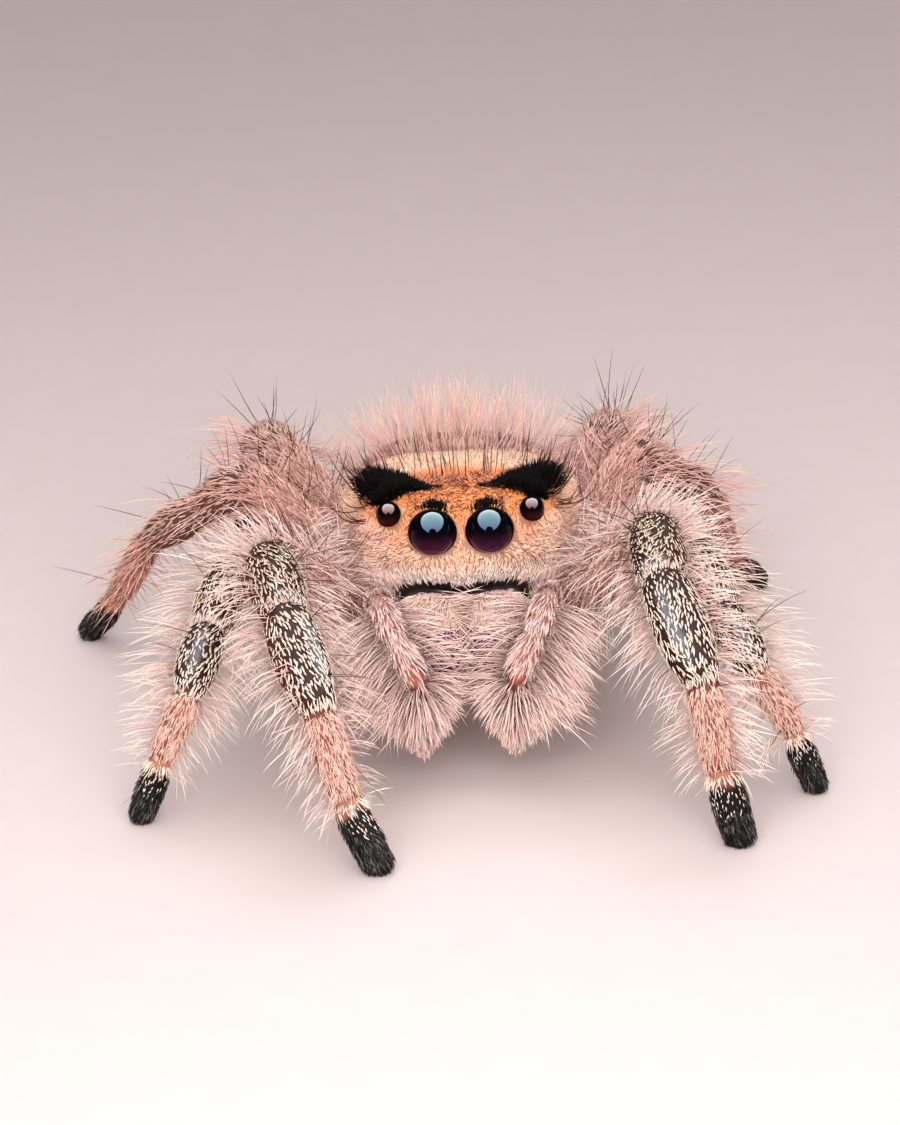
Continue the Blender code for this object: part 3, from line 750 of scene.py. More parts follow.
def eye_ball(kind, side):
    """Rings of radius r sin(a) at r cos(a) along the line of sight, a from 0 to 180."""
    centre, radius, sight, across, upward = eye_frame(kind, side)

    def surface(u, v):
        angle = math.pi * np.clip(v, 0.01, 0.99)[:, None]
        cosine, sine = circle(u)
        ring = cosine[:, None] * across + sine[:, None] * upward
        return centre + radius * (np.sin(angle) * ring + np.cos(angle) * sight)

    def mirror(points, u, v):
        """Strength 0.5 in front and above, falling to 0 at the sides and below, by the parts
        of the normal along the sight, upward and across."""
        normal = (points - centre) / radius
        above = blend(0.45, 0.70, normal @ upward) * blend(0.68, 0.56, np.abs(normal @ across))
        return np.repeat(0.5 * np.maximum(blend(0.40, 0.62, normal @ sight), above)[:, None], 3, axis=1)
    return closed_surface(surface, *BALL_GRID, mirror)


def eye_rim(kind, side):
    """A thin ring, carried round the lens where it leaves the shell."""
    centre, radius, sight, across, upward = eye_frame(kind, side)
    rows, sides = RIM_GRID
    cosine, sine = circle(np.arange(rows) / rows)
    ring = cosine[:, None] * across + sine[:, None] * upward
    thick = RIM_THICKNESS * radius
    cosine, sine = circle(np.arange(sides) / sides)
    points = (centre + RIM_PLACE * radius * sight + ring[:, None] * (radius + thick * cosine[None, :, None])
              + thick * sine[None, :, None] * sight).reshape(-1, 3)
    row, column = np.meshgrid(np.arange(rows), np.arange(sides), indexing="ij")
    next_row, next_column = (row + 1) % rows, (column + 1) % sides
    quads = np.stack((row * sides + column, row * sides + next_column,
                      next_row * sides + next_column, next_row * sides + column), -1).reshape(-1, 4)
    a, b, c = points[np.concatenate((quads[:, :3], quads[:, [0, 2, 3]]))].transpose(1, 0, 2)
    if np.einsum("ij,ij->", a - centre, np.cross(b - centre, c - centre)) < 0.0:
        quads = quads[:, ::-1]
    return {"points": points, "quads": quads, "fans": np.zeros((0, 3), int),
            "colour": np.tile(SOOT * 0.6, (len(points), 1))}


# The first colour given for each lens is painted into its lower half as a painted reflection of the floor.
front_lens = lens_material("front_lens", paint(58, 14, 42), paint(158, 206, 216),
                           paint(126, 140, 210), (EYE_LEVEL, 0.47))
side_lens = lens_material("side_lens", paint(50, 10, 8), paint(236, 208, 206),
                          paint(170, 96, 92), (5.39, 0.25))
rear_lens = lens_material("rear_lens", paint(12, 6, 6), paint(52, 42, 42),
                          paint(40, 24, 22), (5.5, 0.2))
LENS = {"front_middle": front_lens, "front_side": side_lens, "small_middle": rear_lens,
        "rear_side": rear_lens}
for side in SIDES:
    for kind in EYES:
        add_piece(f"{kind}_lens_{side}", [eye_ball(kind, side)], LENS[kind],
                  [f"eye_{kind}_{side}"])
add_piece("eye_rims", [eye_rim(kind, side) for kind in EYES for side in SIDES], BLACK_HAIR)


# %% [markdown]
# ## Markings of head and thorax
# The forehead is orange, the cheeks fade from salmon to pale pink, and the band above the
# jaws is cream.  Behind the forehead the back turns to a dusty peach.  One function gives
# this colour for any point, and it paints the skin as well as every hair that grows on it.


# %% Colour of the front body
def front_body_colour(points):
    """Blends by height on the face, by distance from the middle on the cheeks, and by y."""
    side, y, z = side_y_z(points)
    soft = mottle(points, 0.5, 11)
    face = mix(SALMON, ORANGE, blend(5.02, 5.52, z + 0.10 * soft))
    face = mix(face, DEEP_ORANGE, 0.6 * blend(5.5, 5.8, z) * blend(0.5, 1.2, y))
    face = mix(face, PEACH, blend(4.92, 4.64, z + 0.05 * soft))
    face = mix(face, mix(PINK_CREAM, WHITE_HAIR, 0.4), blend(4.58, 4.24, z + 0.04 * soft + 0.06 * side))
    cheek = blend(1.20, 1.95, side + 0.10 * soft) * blend(5.50, 4.95, z)
    face = mix(face, PALE_ROSE, 0.8 * cheek)
    back = mix(PEACH, mix(PEACH, TAN, 0.7), blend(2.4, 4.2, y + 0.4 * soft))
    back = mix(back, GREY_BROWN, 0.35 * blend(0.0, 0.8, mottle(points, 0.9, 12)) * blend(2.6, 3.6, y))
    back = mix(back, CREAM, 0.6 * blend(1.7, 2.3, side) * blend(3.0, 4.2, y))
    colour = mix(face, back, blend(1.65, 2.05, y + 0.15 * side))
    return mix(colour, mix(TAN, PINK_CREAM, 0.6), blend(4.2, 3.4, z) * blend(0.9, 1.5, y))


# The dark of the skin round the mouth is painted shade of the slit between face and jaws.
MOUTH_TOP = 3.98     # upper edge of the bare dark skin round the mouth


def mouth_share(points, full):
    """1 on the skin round the mouth from the height `full` down, 0 above its upper edge."""
    side, y, z = side_y_z(points)
    return blend(MOUTH_TOP, full, z) * blend(1.9, 1.5, y) * blend(1.55, 1.25, side)


def front_skin_colour(points, u, v):
    """The hair's colour, darkened and reddened as painted shade of the gaps between hairs; the skin round the
    mouth is painted nearly black, as the shade in the slit between face and jaws."""
    gap = mix(front_body_colour(points) * 0.65, RED_BROWN * 0.6, 0.6 * blend(2.0, 1.4, points[:, 1]))
    return mix(gap, paint(34, 12, 10), mouth_share(points, 3.92))


def under_colour(points, u, v):
    """Pale shell with darker clouds for the plates under the body, painted dark towards the front as the
    shade under the head round the mouth.
    """
    pale = mix(mix(TAN, PINK_CREAM, 0.5), GREY_BROWN, 0.5 + 0.5 * mottle(points, 0.6, 13))
    return mix(paint(40, 16, 14), pale, blend(1.3, 2.0, points[:, 1]))


# %% Skin of the front body
WAIST = ((0.0, 5.55, 3.35), (0.0, 6.75, 2.60))
WAIST_RADIUS = 0.36


def plate_surface(centre, half_sizes, powers):
    """A rounded plate: outline (a cos, b sin) of a superellipse, shrinking with height."""
    def surface(u, v):
        level = -np.cos(math.pi * np.clip(v, 0.02, 0.98))
        spread = (1.0 - np.abs(level) ** powers[1]) ** (1.0 / powers[1])
        across, forward = circle(u)
        reach = squaring(across, forward, powers[0])
        return np.stack((across * reach * spread * half_sizes[0], forward * reach * spread * half_sizes[1],
                         level * half_sizes[2]), -1) + np.array(centre)
    return surface


def waist_surface(u, v):
    """The narrow waist: rings of radius 0.36 - 0.08 sin(pi v) from shield to abdomen."""
    start, end = np.array(WAIST)
    radius = (WAIST_RADIUS - 0.08 * np.sin(math.pi * v))[:, None]
    across, upward = circle(u)
    return start + (end - start) * v[:, None] + radius * arrows(across, 0.0, upward)


sternum_surface = plate_surface((0.0, 3.42, 2.24), (0.84, 1.88, 0.27), (2.3, 2.2))
mouth_surface = plate_surface((0.0, 1.14, 2.36), (0.76, 0.27, 0.44), (2.6, 2.2))
shield = closed_surface(head_surface, 180, 220, front_skin_colour)
add_piece("front_body_skin",
          [shield, closed_surface(waist_surface, 12, 28, under_colour),
           closed_surface(sternum_surface, 24, 48, under_colour),
           closed_surface(mouth_surface, 24, 40, under_colour)],
          SHELL_SKIN, ["carapace", "pedicel", "sternum", "mouthparts"])


# %% [markdown]
# ## The lie of the coat on the head
# Hair runs down between the eyes, parts below them and sweeps out over the cheeks, while on
# the back it runs to the rear.  A direction is given for any point in space and pressed onto
# the skin there.  Close to an eye it is turned to pass round the lens.


# %% Lie on the front body
def front_body_lie(spots):
    """Sum of a few simple flows, each with its own region, and a push away from each eye."""
    point = spots["point"]
    sign = np.where(point[:, 0] < 0.0, -1.0, 1.0)
    side, y, z = side_y_z(point)
    forehead = blend(4.9, 5.3, z) * (1.0 - blend(0.8, 1.5, y))
    cheek = blend(0.5, 1.4, side) * blend(5.3, 4.8, z)
    lip = blend(4.55, 4.25, z) * (1.0 - blend(1.2, 1.8, side))
    middle = 1.0 - blend(0.3, 0.9, side)
    flow = arrows(-0.35 * sign * forehead, -0.4 * forehead, -forehead)
    flow += arrows(sign * cheek, 0.2 * cheek, -0.42 * cheek)
    flow += 2.0 * arrows(-0.35 * sign * lip, -0.2 * lip, -lip)
    flow += arrows(0.0, 0.0, -middle * 0.6)
    rear = blend(0.9, 1.7, y)[:, None]
    flow = flow * (1.0 - rear) + rear * arrows(0.15 * sign, 1.0, -0.25 * (side > 2.0))
    for kind in EYES:
        for own_side in SIDES:
            centre, radius, _ = eye_of(kind, own_side)
            away = point - centre
            distance = np.linalg.norm(away, axis=-1)
            push = np.exp(-np.maximum(distance - radius, 0.0) / 0.12)
            flow += 1.2 * push[:, None] * away / distance[:, None]
    return flow


def front_coat_colours(spots, rng):
    """Darker and redder at the root on the face: painted shade of the deep gaps between hairs."""
    colour = toned(front_body_colour(spots["point"]), rng, 0.15)
    face = blend(2.0, 1.4, spots["point"][:, 1])
    return mix(colour * 0.88, mix(colour * 0.5, RED_BROWN, 0.22), face), colour * 1.14


# %% [markdown]
# ## The short coat of head and thorax
# It is densest and shortest on the face, where each hair is only a quarter of a millimetre
# long.  The face gets one piece and the back another, so that neither mesh is too heavy.


# %% Short coat
def on_face(spots):
    """Weight of the face: in front of y = 1.8, outside the eyes and off the mouth."""
    point = spots["point"]
    return clear_of_eyes(point, 0.03) * blend(2.1, 1.7, point[:, 1]) * (1.0 - mouth_share(point, 3.93))


def on_back(spots):
    """Weight of the rest of the front body, thinner underneath."""
    point = spots["point"]
    return (clear_of_eyes(point, 0.02) * blend(1.6, 2.0, point[:, 1]) * (1.0 - mouth_share(point, 3.93))
            * (0.35 + 0.65 * blend(2.8, 3.6, point[:, 2])))


def face_length(spots):
    """Shorter above the eyes and beside them, longer on the cream band and the cheeks."""
    side, y, z = side_y_z(spots["point"])
    return 0.80 + 0.45 * blend(4.6, 4.2, z) + 0.6 * blend(1.6, 2.2, side)


face_coat = grow(head_surface, 9200, 21, on_face, front_body_lie, front_coat_colours, (0.18, 0.29),
                 (0.030, 0.044), lift=(22, 4), spread=0.28, rings=3, stretch=face_length)
add_piece("face_coat", [face_coat], SOFT_HAIR)
back_coat = grow(head_surface, 11500, 22, on_back, front_body_lie, front_coat_colours, (0.26, 0.42),
                 (0.034, 0.050), lift=(20, 2), spread=0.28)
add_piece("back_coat", [back_coat], SOFT_HAIR)

# %% [markdown]
# ## Long hair of the face
# A white moustache hangs over the dark gap between face and jaws, and its hairs cross in the
# middle.  Long pale hairs stand out from the cheeks.


# %% Moustache and whiskers
def moustache_weight(spots):
    """A thin band along the upper edge of the mouth."""
    side, y, z = side_y_z(spots["point"])
    return blend(4.12, 4.06, z) * blend(3.93, 3.96, z) * blend(1.75, 1.5, side) * (y < 1.0)


def moustache_lie(spots):
    """Down and forward, leaning to the middle, more so near it."""
    x = spots["point"][:, 0]
    down = arrows(-np.sign(x) * (0.30 + 0.65 * np.exp(-(x / 0.35) ** 2)), -0.30, -1.0)
    return down, down + np.array((0.0, 0.12, 0.0))


def moustache_length(spots):
    """Longest in the middle, where the hairs cross over the gap between the jaws."""
    return 1.0 + 0.7 * np.exp(-(spots["point"][:, 0] / 0.25) ** 2)


def whisker_weight(spots):
    """The lower cheeks, as far back as the hips of the second legs."""
    side, y, z = side_y_z(spots["point"])
    return blend(1.75, 2.1, side) * blend(3.0, 3.4, z) * blend(4.9, 4.4, z) * blend(3.6, 2.0, y)


def whisker_lie(spots):
    """Out to the side, bending down and a little forward."""
    sign = np.sign(spots["point"][:, 0])
    return arrows(sign, -0.35, 0.12) + 0.3 * spots["normal"], arrows(sign * 0.8, -0.35, -0.75)


def corner_weight(spots):
    """Both ends of the mouth, where the hair of the cheeks hangs over it."""
    side, y, z = side_y_z(spots["point"])
    return (blend(1.10, 1.55, side) * blend(2.15, 1.95, side) * blend(4.22, 4.10, z)
            * blend(3.86, 3.92, z) * (y < 1.3))


def corner_lie(spots):
    """Down and to the middle, forward at the root and flat at the tip."""
    sign = np.sign(spots["point"][:, 0])
    return arrows(-0.25 * sign, -0.45, -1.0), arrows(-0.75 * sign, -0.10, -0.8)


def white_colours(spots, rng):
    colour = one_tone(mix(WHITE_HAIR, PALE_ROSE, 0.35), spots, rng, 0.10)
    # The root is darkened towards red-brown: painted shade between hairs.
    return mix(colour, RED_BROWN, 0.45), colour


def pink_colours(spots, rng):
    colour = one_tone(mix(PALE_ROSE, PINK_CREAM, 0.5), spots, rng, 0.16)
    # The root is darkened towards red-brown: painted shade between hairs.
    return mix(colour * 0.7, RED_BROWN * 0.8, 0.6), colour


moustache = grow(head_surface, 310, 25, moustache_weight, moustache_lie, white_colours, (0.13, 0.23),
                 (0.026, 0.036), lift=None, spread=0.16, rings=3, flat=0.7, stretch=moustache_length)
whiskers = grow(head_surface, 560, 26, whisker_weight, whisker_lie, pink_colours, (0.60, 1.30),
                (0.016, 0.024), lift=None, spread=0.32, rings=4, flat=0.85, widest=0.3)
corners = grow(head_surface, 400, 27, corner_weight, corner_lie, pink_colours, (0.24, 0.44),
               (0.022, 0.030), lift=None, spread=0.24, rings=4, flat=0.8, widest=0.3)
add_piece("face_long_hair", [moustache, whiskers, corners], SOFT_HAIR)

# %% [markdown]
# ## Brows, lashes and upright hairs
# Two black brows start as thin tails on the forehead and swell into thick brushes that run
# round the small eyes.  Each hair of a brush stands up from the head and arches outward.
# Thin dark hairs also stand on the forehead, and a few strong bristles spring from the
# brushes.

# %% Brow brushes
BROW_X = (0.42, 0.70, 0.95, 1.20, 1.40, 1.54, 1.65, 1.74, 1.84)
BROW_FRONT = (0.74, 0.68, 0.66, 0.58, 0.52, 0.60, 0.70, 0.80, 1.00)
BROW_BACK = (0.78, 0.90, 1.02, 1.14, 1.28, 1.42, 1.56, 1.66, 1.70)


def hump(x, y, middle, half):
    """1 at the middle, fading as exp(-((x - mx) / hx)^2 - ((y - my) / hy)^2)."""
    return np.exp(-((x - middle[0]) / half[0]) ** 2 - ((y - middle[1]) / half[1]) ** 2)


def brow_weight(spots, sign, x):
    """Inside the outline of the brow, thinner in the cup round the small eye."""
    _, y, z = side_y_z(spots["point"])
    front, back = np.interp(x, BROW_X, BROW_FRONT), np.interp(x, BROW_X, BROW_BACK)
    inside = (x > BROW_X[0]) * (x < BROW_X[-1]) * (y > front) * (y < back) * (z > 5.28)
    cup = hump(x, y, (1.76, 1.06), (0.11, 0.20))
    return inside * (1.0 - 0.92 * cup) * clear_of_eyes(spots["point"], -0.02)


def brow_lie(spots, sign, x):
    """Up, leaning to the middle along the tail and arching outward at the outer end."""
    out, tail = blend(1.2, 1.9, x), blend(1.1, 0.6, x)
    return (arrows(sign * (0.12 * out - 0.7 * tail), 0.10 - 0.35 * tail, 1.0) + 0.3 * spots["normal"],
            arrows(sign * (0.50 * out - 0.8 * tail), -0.30, 0.8 - 0.7 * out - 0.5 * tail))


def brow_length(spots, sign, x):
    """Longer outward, tall behind the small eye and low in front of it."""
    y = spots["point"][:, 1]
    low = hump(x, y, (1.80, 0.82), (0.20, 0.22))
    tall = 1.0 + 0.45 * blend(1.3, 1.6, x) * blend(0.80, 1.15, y) * blend(2.05, 1.85, x)
    return (0.30 + 0.72 * blend(0.6, 1.35, x)) * (1.0 - 0.70 * low) * tall


def cup_weight(spots, sign, x):
    """Round the small eye."""
    return (hump(x, spots["point"][:, 1], (1.78, 1.06), (0.13, 0.22))
            * clear_of_eyes(spots["point"], 0.0))


def lash_weight(side):
    """A thin crescent on the shell above the large front eye."""
    centre, radius, _ = eye_of("front_middle", side)

    def where(spots):
        away = spots["point"] - centre
        gap = np.linalg.norm(away, axis=-1) - radius
        above = np.exp(-((away[:, 0] + 0.06 * SIDES[side]) / 0.17) ** 2)
        return (gap > -0.06) * (gap < 0.07) * above * (away[:, 2] > 0.3) * (spots["point"][:, 1] < 0.5)
    return where


def lash_lie(side):
    """Away from the eye, forward and up."""
    centre, _, _ = eye_of("front_middle", side)

    def lie(spots):
        away = unit(spots["point"] - centre)
        return (away + np.array((0.1 * SIDES[side], -0.7, 0.5)),
                away + np.array((0.4 * SIDES[side], -0.4, 0.5)))
    return lie


def sooty(spots, rng):
    colour = one_tone(SOOT * 0.55, spots, rng, 0.5)
    return colour, colour


# Red-brown hairs in the cup round the small eye: partly the hairs' own colour and partly painted light
# shining through the brow; the darker root is painted shade.
def rusty(spots, rng):
    colour = one_tone(mix(RED_BROWN, SALMON, 0.45), spots, rng, 0.3)
    return colour * 0.4, colour


brows, lashes = [], []
for index, side in enumerate(SIDES):
    tile = (0.5 * index, 0.5 * index + 0.5)
    brows.append(grow(head_surface, 2700, 31 + index, on_side(brow_weight, side), on_side(brow_lie, side),
                      sooty, (0.34, 0.52), (0.028, 0.042), lift=None, spread=0.22, flat=0.7,
                      stretch=on_side(brow_length, side), tile=tile))
    brows.append(grow(head_surface, 160, 33 + index, on_side(cup_weight, side), on_side(brow_lie, side),
                      rusty, (0.20, 0.36), (0.016, 0.024), lift=None, spread=0.35, rings=3, flat=0.8,
                      tile=tile))
    lashes.append(grow(head_surface, 210, 35 + index, lash_weight(side), lash_lie(side), sooty,
                       (0.12, 0.24), (0.018, 0.028), lift=None, spread=0.28, flat=0.7, tile=tile))
add_piece("brow_brushes", brows, BLACK_HAIR)
add_piece("eye_lashes", lashes, BLACK_HAIR)


# %% Fine dark hairs and bristles of the head
def forehead_weight(spots):
    """Forehead and the ground round the brows, with a few places on the cheeks."""
    _, y, z = side_y_z(spots["point"])
    return clear_of_eyes(spots["point"], 0.0) * blend(1.5, 1.1, y) * (
        0.06 * blend(4.3, 4.5, z) + blend(5.3, 5.6, z))


def crown_weight(spots):
    """The top of the head behind the brows."""
    _, y, z = side_y_z(spots["point"])
    return blend(0.8, 1.2, y) * blend(2.8, 1.6, y) * blend(5.2, 5.5, z) * clear_of_eyes(spots["point"], 0.0)


def crown_lie(spots):
    """Upright at the root, then leaning back and a little outward."""
    x = spots["point"][:, 0]
    return arrows(0.12 * x, 0.10, 1.0), arrows(0.2 * x, 0.75, 0.75)


def bristle_spots(spots, sign, x):
    """The outer half of a brow."""
    _, y, z = side_y_z(spots["point"])
    return (x > 1.45) * (x < 2.0) * (y > 1.0) * (y < 1.8) * (z > 5.2)


def bristle_lie(spots, sign, x):
    """Out and up, then more upright and back."""
    return arrows(0.75 * sign, -0.25, 0.85), arrows(0.30 * sign, 0.60, 0.85)


def cheek_spots(spots, sign, x):
    """Beside the side eye."""
    _, y, z = side_y_z(spots["point"])
    return (x > 1.85) * (y > 0.6) * (y < 1.3) * (z > 5.0) * (z < 5.4)


def cheek_lie(spots, sign, x):
    """Straight out, then curling up."""
    return arrows(1.0 * sign, -0.5, -0.15), arrows(0.35 * sign, -0.2, 1.0)


def dark_hair_colours(spots, rng):
    colour = one_tone(mix(DARK_BROWN, RED_BROWN, 0.25), spots, rng, 0.4)
    # The root at 0.4 of the colour is painted shade between hairs.
    return colour * 0.4, colour * 0.9


LONG_BRISTLE = {"lift": None, "rings": 6, "flat": 0.9, "widest": 0.25}
head_bristles = [
    grow(head_surface, 620, 41, forehead_weight, front_body_lie, dark_hair_colours, (0.18, 0.36),
         (0.013, 0.019), lift=(50, 12), spread=1.0, rings=3, flat=0.9),
    grow(head_surface, 52, 42, crown_weight, crown_lie, dark_hair_colours, (0.45, 1.15),
         (0.017, 0.025), lift=None, spread=0.14, rings=4, flat=0.9, widest=0.3)]
for index, side in enumerate(SIDES):
    head_bristles.append(grow(head_surface, 15, 43 + index, on_side(bristle_spots, side),
                              on_side(bristle_lie, side), dark_hair_colours, (0.80, 1.50),
                              (0.026, 0.040), spread=0.16, **LONG_BRISTLE))
    head_bristles.append(grow(head_surface, 9, 45 + index, on_side(cheek_spots, side),
                              on_side(cheek_lie, side), dark_hair_colours, (0.80, 1.50),
                              (0.024, 0.034), spread=0.18, **LONG_BRISTLE))
add_piece("head_bristles", head_bristles, DARK_BRISTLE)


# %% [markdown]
# ## The abdomen
# The abdomen of this pale form is sandy, with a cream band round the front, a cream spot in
# the middle of the back and pairs of small spots behind it, edged with dark bands.  Its coat
# is longer and softer than the head's, with a haze of fine pale hairs standing above it.


# %% Colour and coat of the abdomen
CREAM_SPOTS = ((0.0, 9.15, 0.62, 0.55), (0.95, 8.3, 0.28, 0.20), (0.82, 10.35, 0.26, 0.22),
               (0.62, 11.5, 0.20, 0.17), (0.0, 12.5, 0.28, 0.18))     # x, y and half sizes
STRIPE_REPEAT = 1.7


def spot_mask(points, x, y, half_x, half_y):
    """1 inside an oval on the back, fading over its edge, the same on both sides."""
    distance = ((np.abs(points[:, 0]) - x) / half_x) ** 2 + ((points[:, 1] - y) / half_y) ** 2
    return blend(1.25, 0.75, distance) * blend(2.2, 2.8, points[:, 2])


def abdomen_colour(points):
    """Sandy ground, dark paired bands, then the cream band, spots and slanting side stripes
    laid over them."""
    side, y, z = side_y_z(points)
    soft = mottle(points, 0.8, 14)
    colour = mix(ROSE_SAND * 0.85, GREY_BROWN, 0.12 + 0.20 * soft)
    bands = (blend(0.35, 0.6, side) * blend(1.35, 1.1, side + 0.1 * soft) * blend(9.0, 9.8, y)
             * blend(2.7, 3.0, z))
    colour = mix(colour, mix(DARK_BROWN, GREY_BROWN, 0.25), 0.8 * bands)
    cream = blend(7.2, 6.7, y + 0.15 * soft)
    for spot in CREAM_SPOTS:
        cream = np.maximum(cream, spot_mask(points, *spot))
    slant = np.abs(((y - 0.8 * (4.0 - z)) % STRIPE_REPEAT) - STRIPE_REPEAT / 2.0)
    cream = np.maximum(cream, 0.75 * blend(0.26, 0.12, slant) * blend(1.5, 1.9, side) * blend(1.4, 2.2, z))
    colour = mix(colour, mix(PALE_ROSE, ROSE_SAND, 0.6 * blend(7.6, 7.0, y)), cream)
    return mix(colour, mix(GREY_BROWN, PALE_ROSE, 0.55), blend(2.2, 1.5, z))


def abdomen_hair_colours(spots, rng):
    colour = toned(abdomen_colour(spots["point"]), rng)
    # The root at 0.7 of the colour is painted shade between hairs.
    return colour * 0.7, colour * 1.03


def pale_haze(spots, rng):
    colour = one_tone(mix(PALE_ROSE, ROSE_SAND, 0.25), spots, rng)
    return mix(colour, ROSE_SAND, 0.6), colour


def rearward(spots):
    return np.array((0.0, 1.0, -0.12))


def upper_half(spots):
    return 0.25 + blend(1.8, 3.2, spots["point"][:, 2])


# The skin is the coat's colour at half strength: painted shade of the gaps between hairs.
abdomen_skin = closed_surface(abdomen_surface, 110, 120, lambda points, u, v: abdomen_colour(points) * 0.5)
add_piece("abdomen_skin", [abdomen_skin], SHELL_SKIN, ["abdomen"])
abdomen_coat = grow(abdomen_surface, 14400, 23, upper_half, rearward, abdomen_hair_colours, (0.32, 0.54),
                    (0.036, 0.052), lift=(20, 3), spread=0.26)
add_piece("abdomen_coat", [abdomen_coat], SOFT_HAIR)
abdomen_haze = grow(abdomen_surface, 1100, 24, upper_half, rearward, pale_haze, (0.90, 1.90),
                    (0.016, 0.024), lift=(76, 55), spread=0.5, rings=4, flat=0.9, widest=0.3)
add_piece("abdomen_haze", [abdomen_haze], SOFT_HAIR)


# %% [markdown]
# ## Limbs
# A leg is a chain of tubes: coxa, femur, patella, tibia, metatarsus and tarsus.  The skin is
# one tube along all of them.  Its middle line is the chain of joints with its corners rubbed
# round, its width follows each segment's own profile, and it narrows at each joint, where a
# soft membrane lets the leg bend.

# %% Stance
LEG_PARTS = ("coxa", "femur", "patella", "tibia", "metatarsus", "tarsus")
HIPS = {1: (1.95, 1.90, 2.75), 2: (2.15, 2.90, 2.70), 3: (2.15, 3.85, 2.70), 4: (1.95, 4.90, 2.75)}
LENGTHS = {
    1: (3.70, 2.20, 2.50, 1.75, 1.35),
    2: (3.25, 1.75, 1.80, 1.40, 1.10),
    3: (3.20, 1.70, 1.90, 1.70, 1.05),
    4: (3.80, 1.90, 2.60, 2.10, 1.20),
}
WIDTHS = {
    1: (1.16, 1.26, 1.24, 0.86, 0.80),
    2: (1.06, 1.10, 1.02, 0.76, 0.66),
    3: (1.04, 1.06, 0.98, 0.74, 0.66),
    4: (1.12, 1.12, 1.02, 0.76, 0.68),
}
STANCE = {     # heading and slope in degrees of femur, patella, tibia and foot
    ("right", 1): ((39, 34), (-9, -10), (-17, -32), (-56, -72)),
    ("right", 2): ((57, 23), (18, -24), (14, -24), (68, -63)),
    ("right", 3): ((125, 33), (132, -32), (134, -33), (119, -58)),
    ("right", 4): ((149, 22), (170, -10), (172, -26), (172, -46)),
    ("left", 1): ((41, 38), (1, -6), (20, -37), (64, -80)),
    ("left", 2): ((58, 23), (18, -25), (21, -24), (72, -59)),
    ("left", 3): ((146, 32), (144, -29), (149, -33), (138, -68)),
    ("left", 4): ((162, 18), (172, -8), (174, -24), (172, -42)),
}
PROFILES = ((0.70, 0.84, 0.20), (0.86, 0.84, 0.16), (0.84, 0.70, 0.24), (1.00, 0.88, 0.06),
            (0.94, 0.94, 0.10))     # thickness at the start, at the end, and the swelling between
COXA_ROOT = (0.99, 2.26)
COXA_WIDTH = 0.74
TOE_HEIGHT = 0.27
LEG_COAT = 0.08


def direction(side, heading, slope):
    """Unit vector of a heading from straight ahead towards the leg's own side, and a slope."""
    heading, slope = math.radians(heading), math.radians(slope)
    level = math.cos(slope)
    return np.array((SIDES[side] * math.sin(heading) * level, -math.cos(heading) * level, math.sin(slope)))


def leg_joints(side, pair):
    """Root, hip, knee and the further joints; the last segment slopes down to the floor."""
    mirror = np.array((SIDES[side], 1.0, 1.0))
    middle_y = (HIPS[1][1] + HIPS[4][1]) / 2.0
    hip = np.array(HIPS[pair]) * mirror
    root = np.array((COXA_ROOT[0], middle_y + (HIPS[pair][1] - middle_y) * 0.84, COXA_ROOT[1])) * mirror
    joints = [root, hip]
    for length, (heading, slope) in zip(LENGTHS[pair], STANCE[side, pair]):
        joints.append(joints[-1] + length * direction(side, heading, slope))
    drop = (TOE_HEIGHT - joints[-1][2]) / LENGTHS[pair][-1]
    slope = math.degrees(math.asin(max(-0.985, drop)))
    joints.append(joints[-1] + LENGTHS[pair][-1] * direction(side, STANCE[side, pair][-1][0], slope))
    return np.array(joints)


# %% A tube along joints
LIMB_STEPS = 480
RUB_WINDOW = 9          # places averaged to round a corner
SMOOTH_STEPS = 15       # steps averaged where one segment's width runs into the next
JOINT_REACH = 0.09      # half length of the narrow part at a joint
OVERHANG = 0.5          # the chain runs on past both ends, so that rounding leaves them in place


